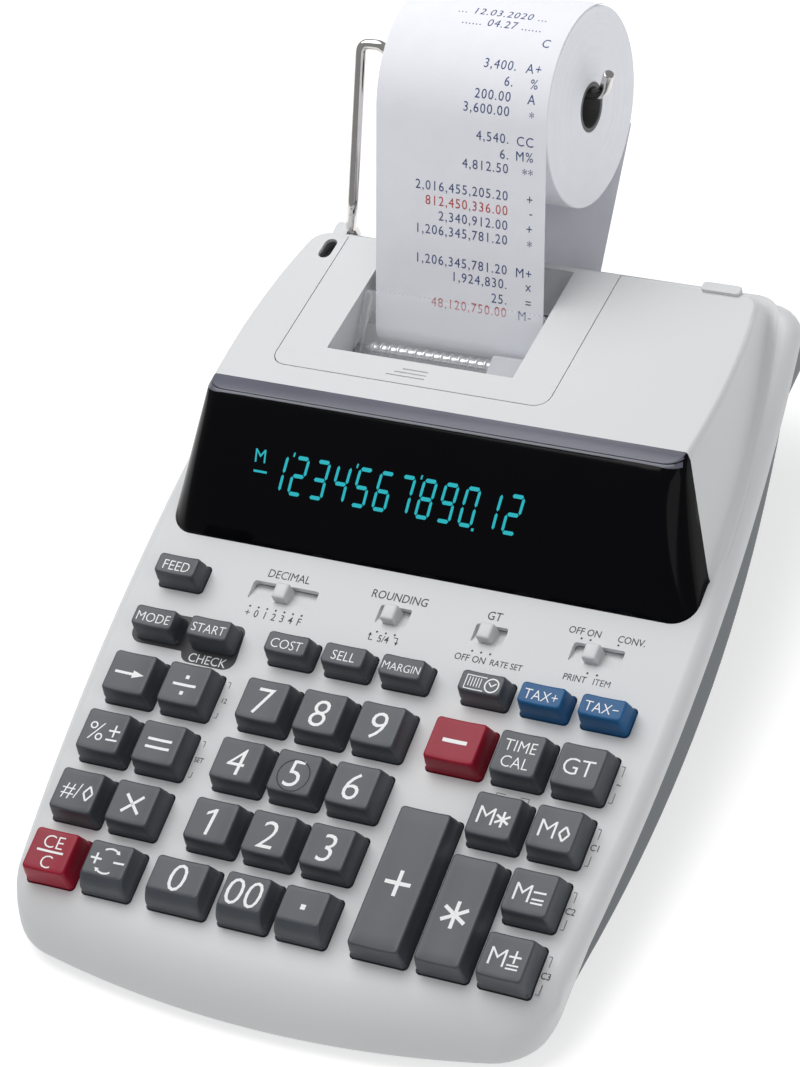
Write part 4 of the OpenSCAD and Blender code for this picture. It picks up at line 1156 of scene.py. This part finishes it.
SCALE_Y, FAINT_W = 99.2, 0.22
LABELS = [("DECIMAL", 3.9, -41.6, 113.4), ("ROUNDING", 3.9, -3.8, 113.4), ("GT", 4, 27.9, 113.4),
          ("OFF ON", 3.2, 57.0, 114.0), ("CONV.", 3.2, 72.1, 113.8)]
LABELS += [(text, 3.5, x, SCALE_Y) for text, x in zip("+01234F", (-50.3, -47.3, -44.3, -41.3, -38.4, -35.5, -32.5))]
LABELS += [("5/4", 3.3, -3.8, 99.1), ("OFF", 3.1, 22.7, 98.5), ("ON", 3.1, 28.2, 98.5),
           ("RATE SET", 2.8, 37.2, 98.5), ("PRINT", 3.0, 59.3, 98.8), ("ITEM", 3.0, 67.9, 98.8)]
labels = []
for text, size, x, y in LABELS:
    part = text_bm(text, size, 0.9, thin=0.0 if "M" in text else -0.02)     # an M's sharp corners can't be widened
    labels.append(moved(part, Matrix.Translation((x, y, 0))))
dots = [(-50.3 + 2.97 * i, 101.4) for i in range(7)] + [(-6.7 + 3 * i, 101.1) for i in range(3)]
dots += [(25.1 + 2.95 * i, 101.0) for i in range(3)] + [(56.7, 111.7), (59.6, 111.7), (68.5, 111.7)]
dots += [(62.5, 101.1), (65.6, 101.0)]
labels.append(flat_bm([circle(c, 0.36, 10) for c in dots]))
arrows = stroke([(-7.2, 98.2), (-8.5, 98.2), (-8.5, 100.2)], 0.3) + [[(-9.1, 99.6), (-7.9, 99.6), (-8.5, 100.7)]]
arrows += stroke([(-0.6, 100.2), (0.7, 100.2), (0.7, 98.2)], 0.3) + [[(0.1, 98.8), (0.7, 97.7), (1.3, 98.8)]]
labels.append(flat_bm(arrows))
# Dark patch round the mode and start keys
labels.append(flat_bm([[*arc((-80.8, 86.4), 4.2, 180, 270, 8), (-66.2, 82.2),
                        *arc((-62.6, 82.4), 3.4, 200, 270, 8), *arc((-51.0, 82.6), 3.8, 270, 360, 8),
                        *arc((-50.6, 91.4), 2.6, 0, 90, 8), *arc((-82.4, 91.4), 2.4, 90, 180, 8)]]))
faint = []


def brackets(x, y, mark, reach, upper, lower, size, width, at):
    """Light marks beside a key: two corners, each given by its two heights, with a code between them."""
    polys = stroke([(x - reach, y + upper[0]), (x, y + upper[0]), (x, y + upper[1])], FAINT_W)
    polys += stroke([(x, y + lower[0]), (x, y + lower[1]), (x - reach, y + lower[1])], FAINT_W)
    faint.append(flat_bm(polys))
    faint.append(moved(text_bm(mark, size, width, thin=-0.03), Matrix.Translation((x + at[0], y + at[1], 0))))


for y, mark in ((3 * ROW, "~"), (2 * ROW, "C1"), (ROW, "C2"), (0, "C3")):
    brackets(84.4, y, mark, 1.1, (13.6, 10.4), (5.0, 1.8), 2.9, 0.9, (0, 7.7))
for y, mark in ((3 * ROW, "12"), (2 * ROW, "SET")):
    brackets(-45.7, y, mark, 0.9, (14.4, 12.4), (4.0, 2.2), 2.3, 0.85, (0.3, 8.2))
faint.append(flat_bm(stroke([(49.6, 57.3), (49.6, 58.6), (52.4, 58.6)], FAINT_W)
                     + stroke([(57.2, 58.6), (60.0, 58.6), (60.0, 57.3)], FAINT_W)))
check = moved(text_bm("CHECK", 4.2, 0.95), Matrix.Translation((-56.4, 80.9, 0)))
for name, bms, mat, lift in (("deck_labels", labels, label_mat, PRINT_LIFT),
                             ("deck_codes", faint, faint_mat, PRINT_LIFT),
                             ("deck_label_check", [check], ink_mat, 2 * PRINT_LIFT)):
    obj = raw_object(name, moved(joined(*bms), Matrix.Translation((0, 0, lift))), [mat])
    place(obj, "chassis")

# ---- stage, light and camera ----

FLOOR_SIZE, FLOOR_GLOW, WORLD_LIGHT = 3, 0.62, 0.3
ground = bmesh.new()
bmesh.ops.create_grid(ground, x_segments=1, y_segments=1, size=FLOOR_SIZE)
floor = linked("floor", ground, [material("floor_white", (0.6, 0.6, 0.6), 0.8, 0.005, 2,
                                          Emission_Color=(1, 1, 1, 1), Emission_Strength=FLOOR_GLOW)])

world = bpy.data.worlds.new("studio")
world.use_nodes = True
world.node_tree.nodes["Background"].inputs["Color"].default_value = (1, 1, 1, 1)
world.node_tree.nodes["Background"].inputs["Strength"].default_value = WORLD_LIGHT
bpy.context.scene.world = world


def area_light(name, location, target, size, power):
    """Square light, its place, target and size in metres."""
    data = bpy.data.lights.new(name, "AREA")
    data.size = size
    data.energy = power
    obj = bpy.data.objects.new(name, data)
    obj.location = location
    obj.rotation_euler = (Vector(target) - Vector(location)).to_track_quat("-Z", "Y").to_euler()
    bpy.context.scene.collection.objects.link(obj)


area_light("key_light", (-0.5, 0.45, 1.3), (0, 0, 0.05), 1.2, 17)
area_light("fill_light", (1.1, -0.5, 0.9), (0, 0, 0.03), 0.8, 2.2)

CAMERA_AT, CAMERA_TURN = (0.5183, -0.6119, 0.9316), (39.860, 14.791, 24.028)       # metres, degrees about X, Y, Z
camera = bpy.data.objects.new("camera", bpy.data.cameras.new("camera"))
camera.data.lens = 135.15
camera.data.sensor_width = 36
camera.data.clip_start = 0.05
camera.location = CAMERA_AT
camera.rotation_euler = [math.radians(a) for a in CAMERA_TURN]
bpy.context.scene.collection.objects.link(camera)
bpy.context.scene.camera = camera
bpy.context.scene.view_settings.view_transform = "Standard"

bpy.context.view_layer.update()
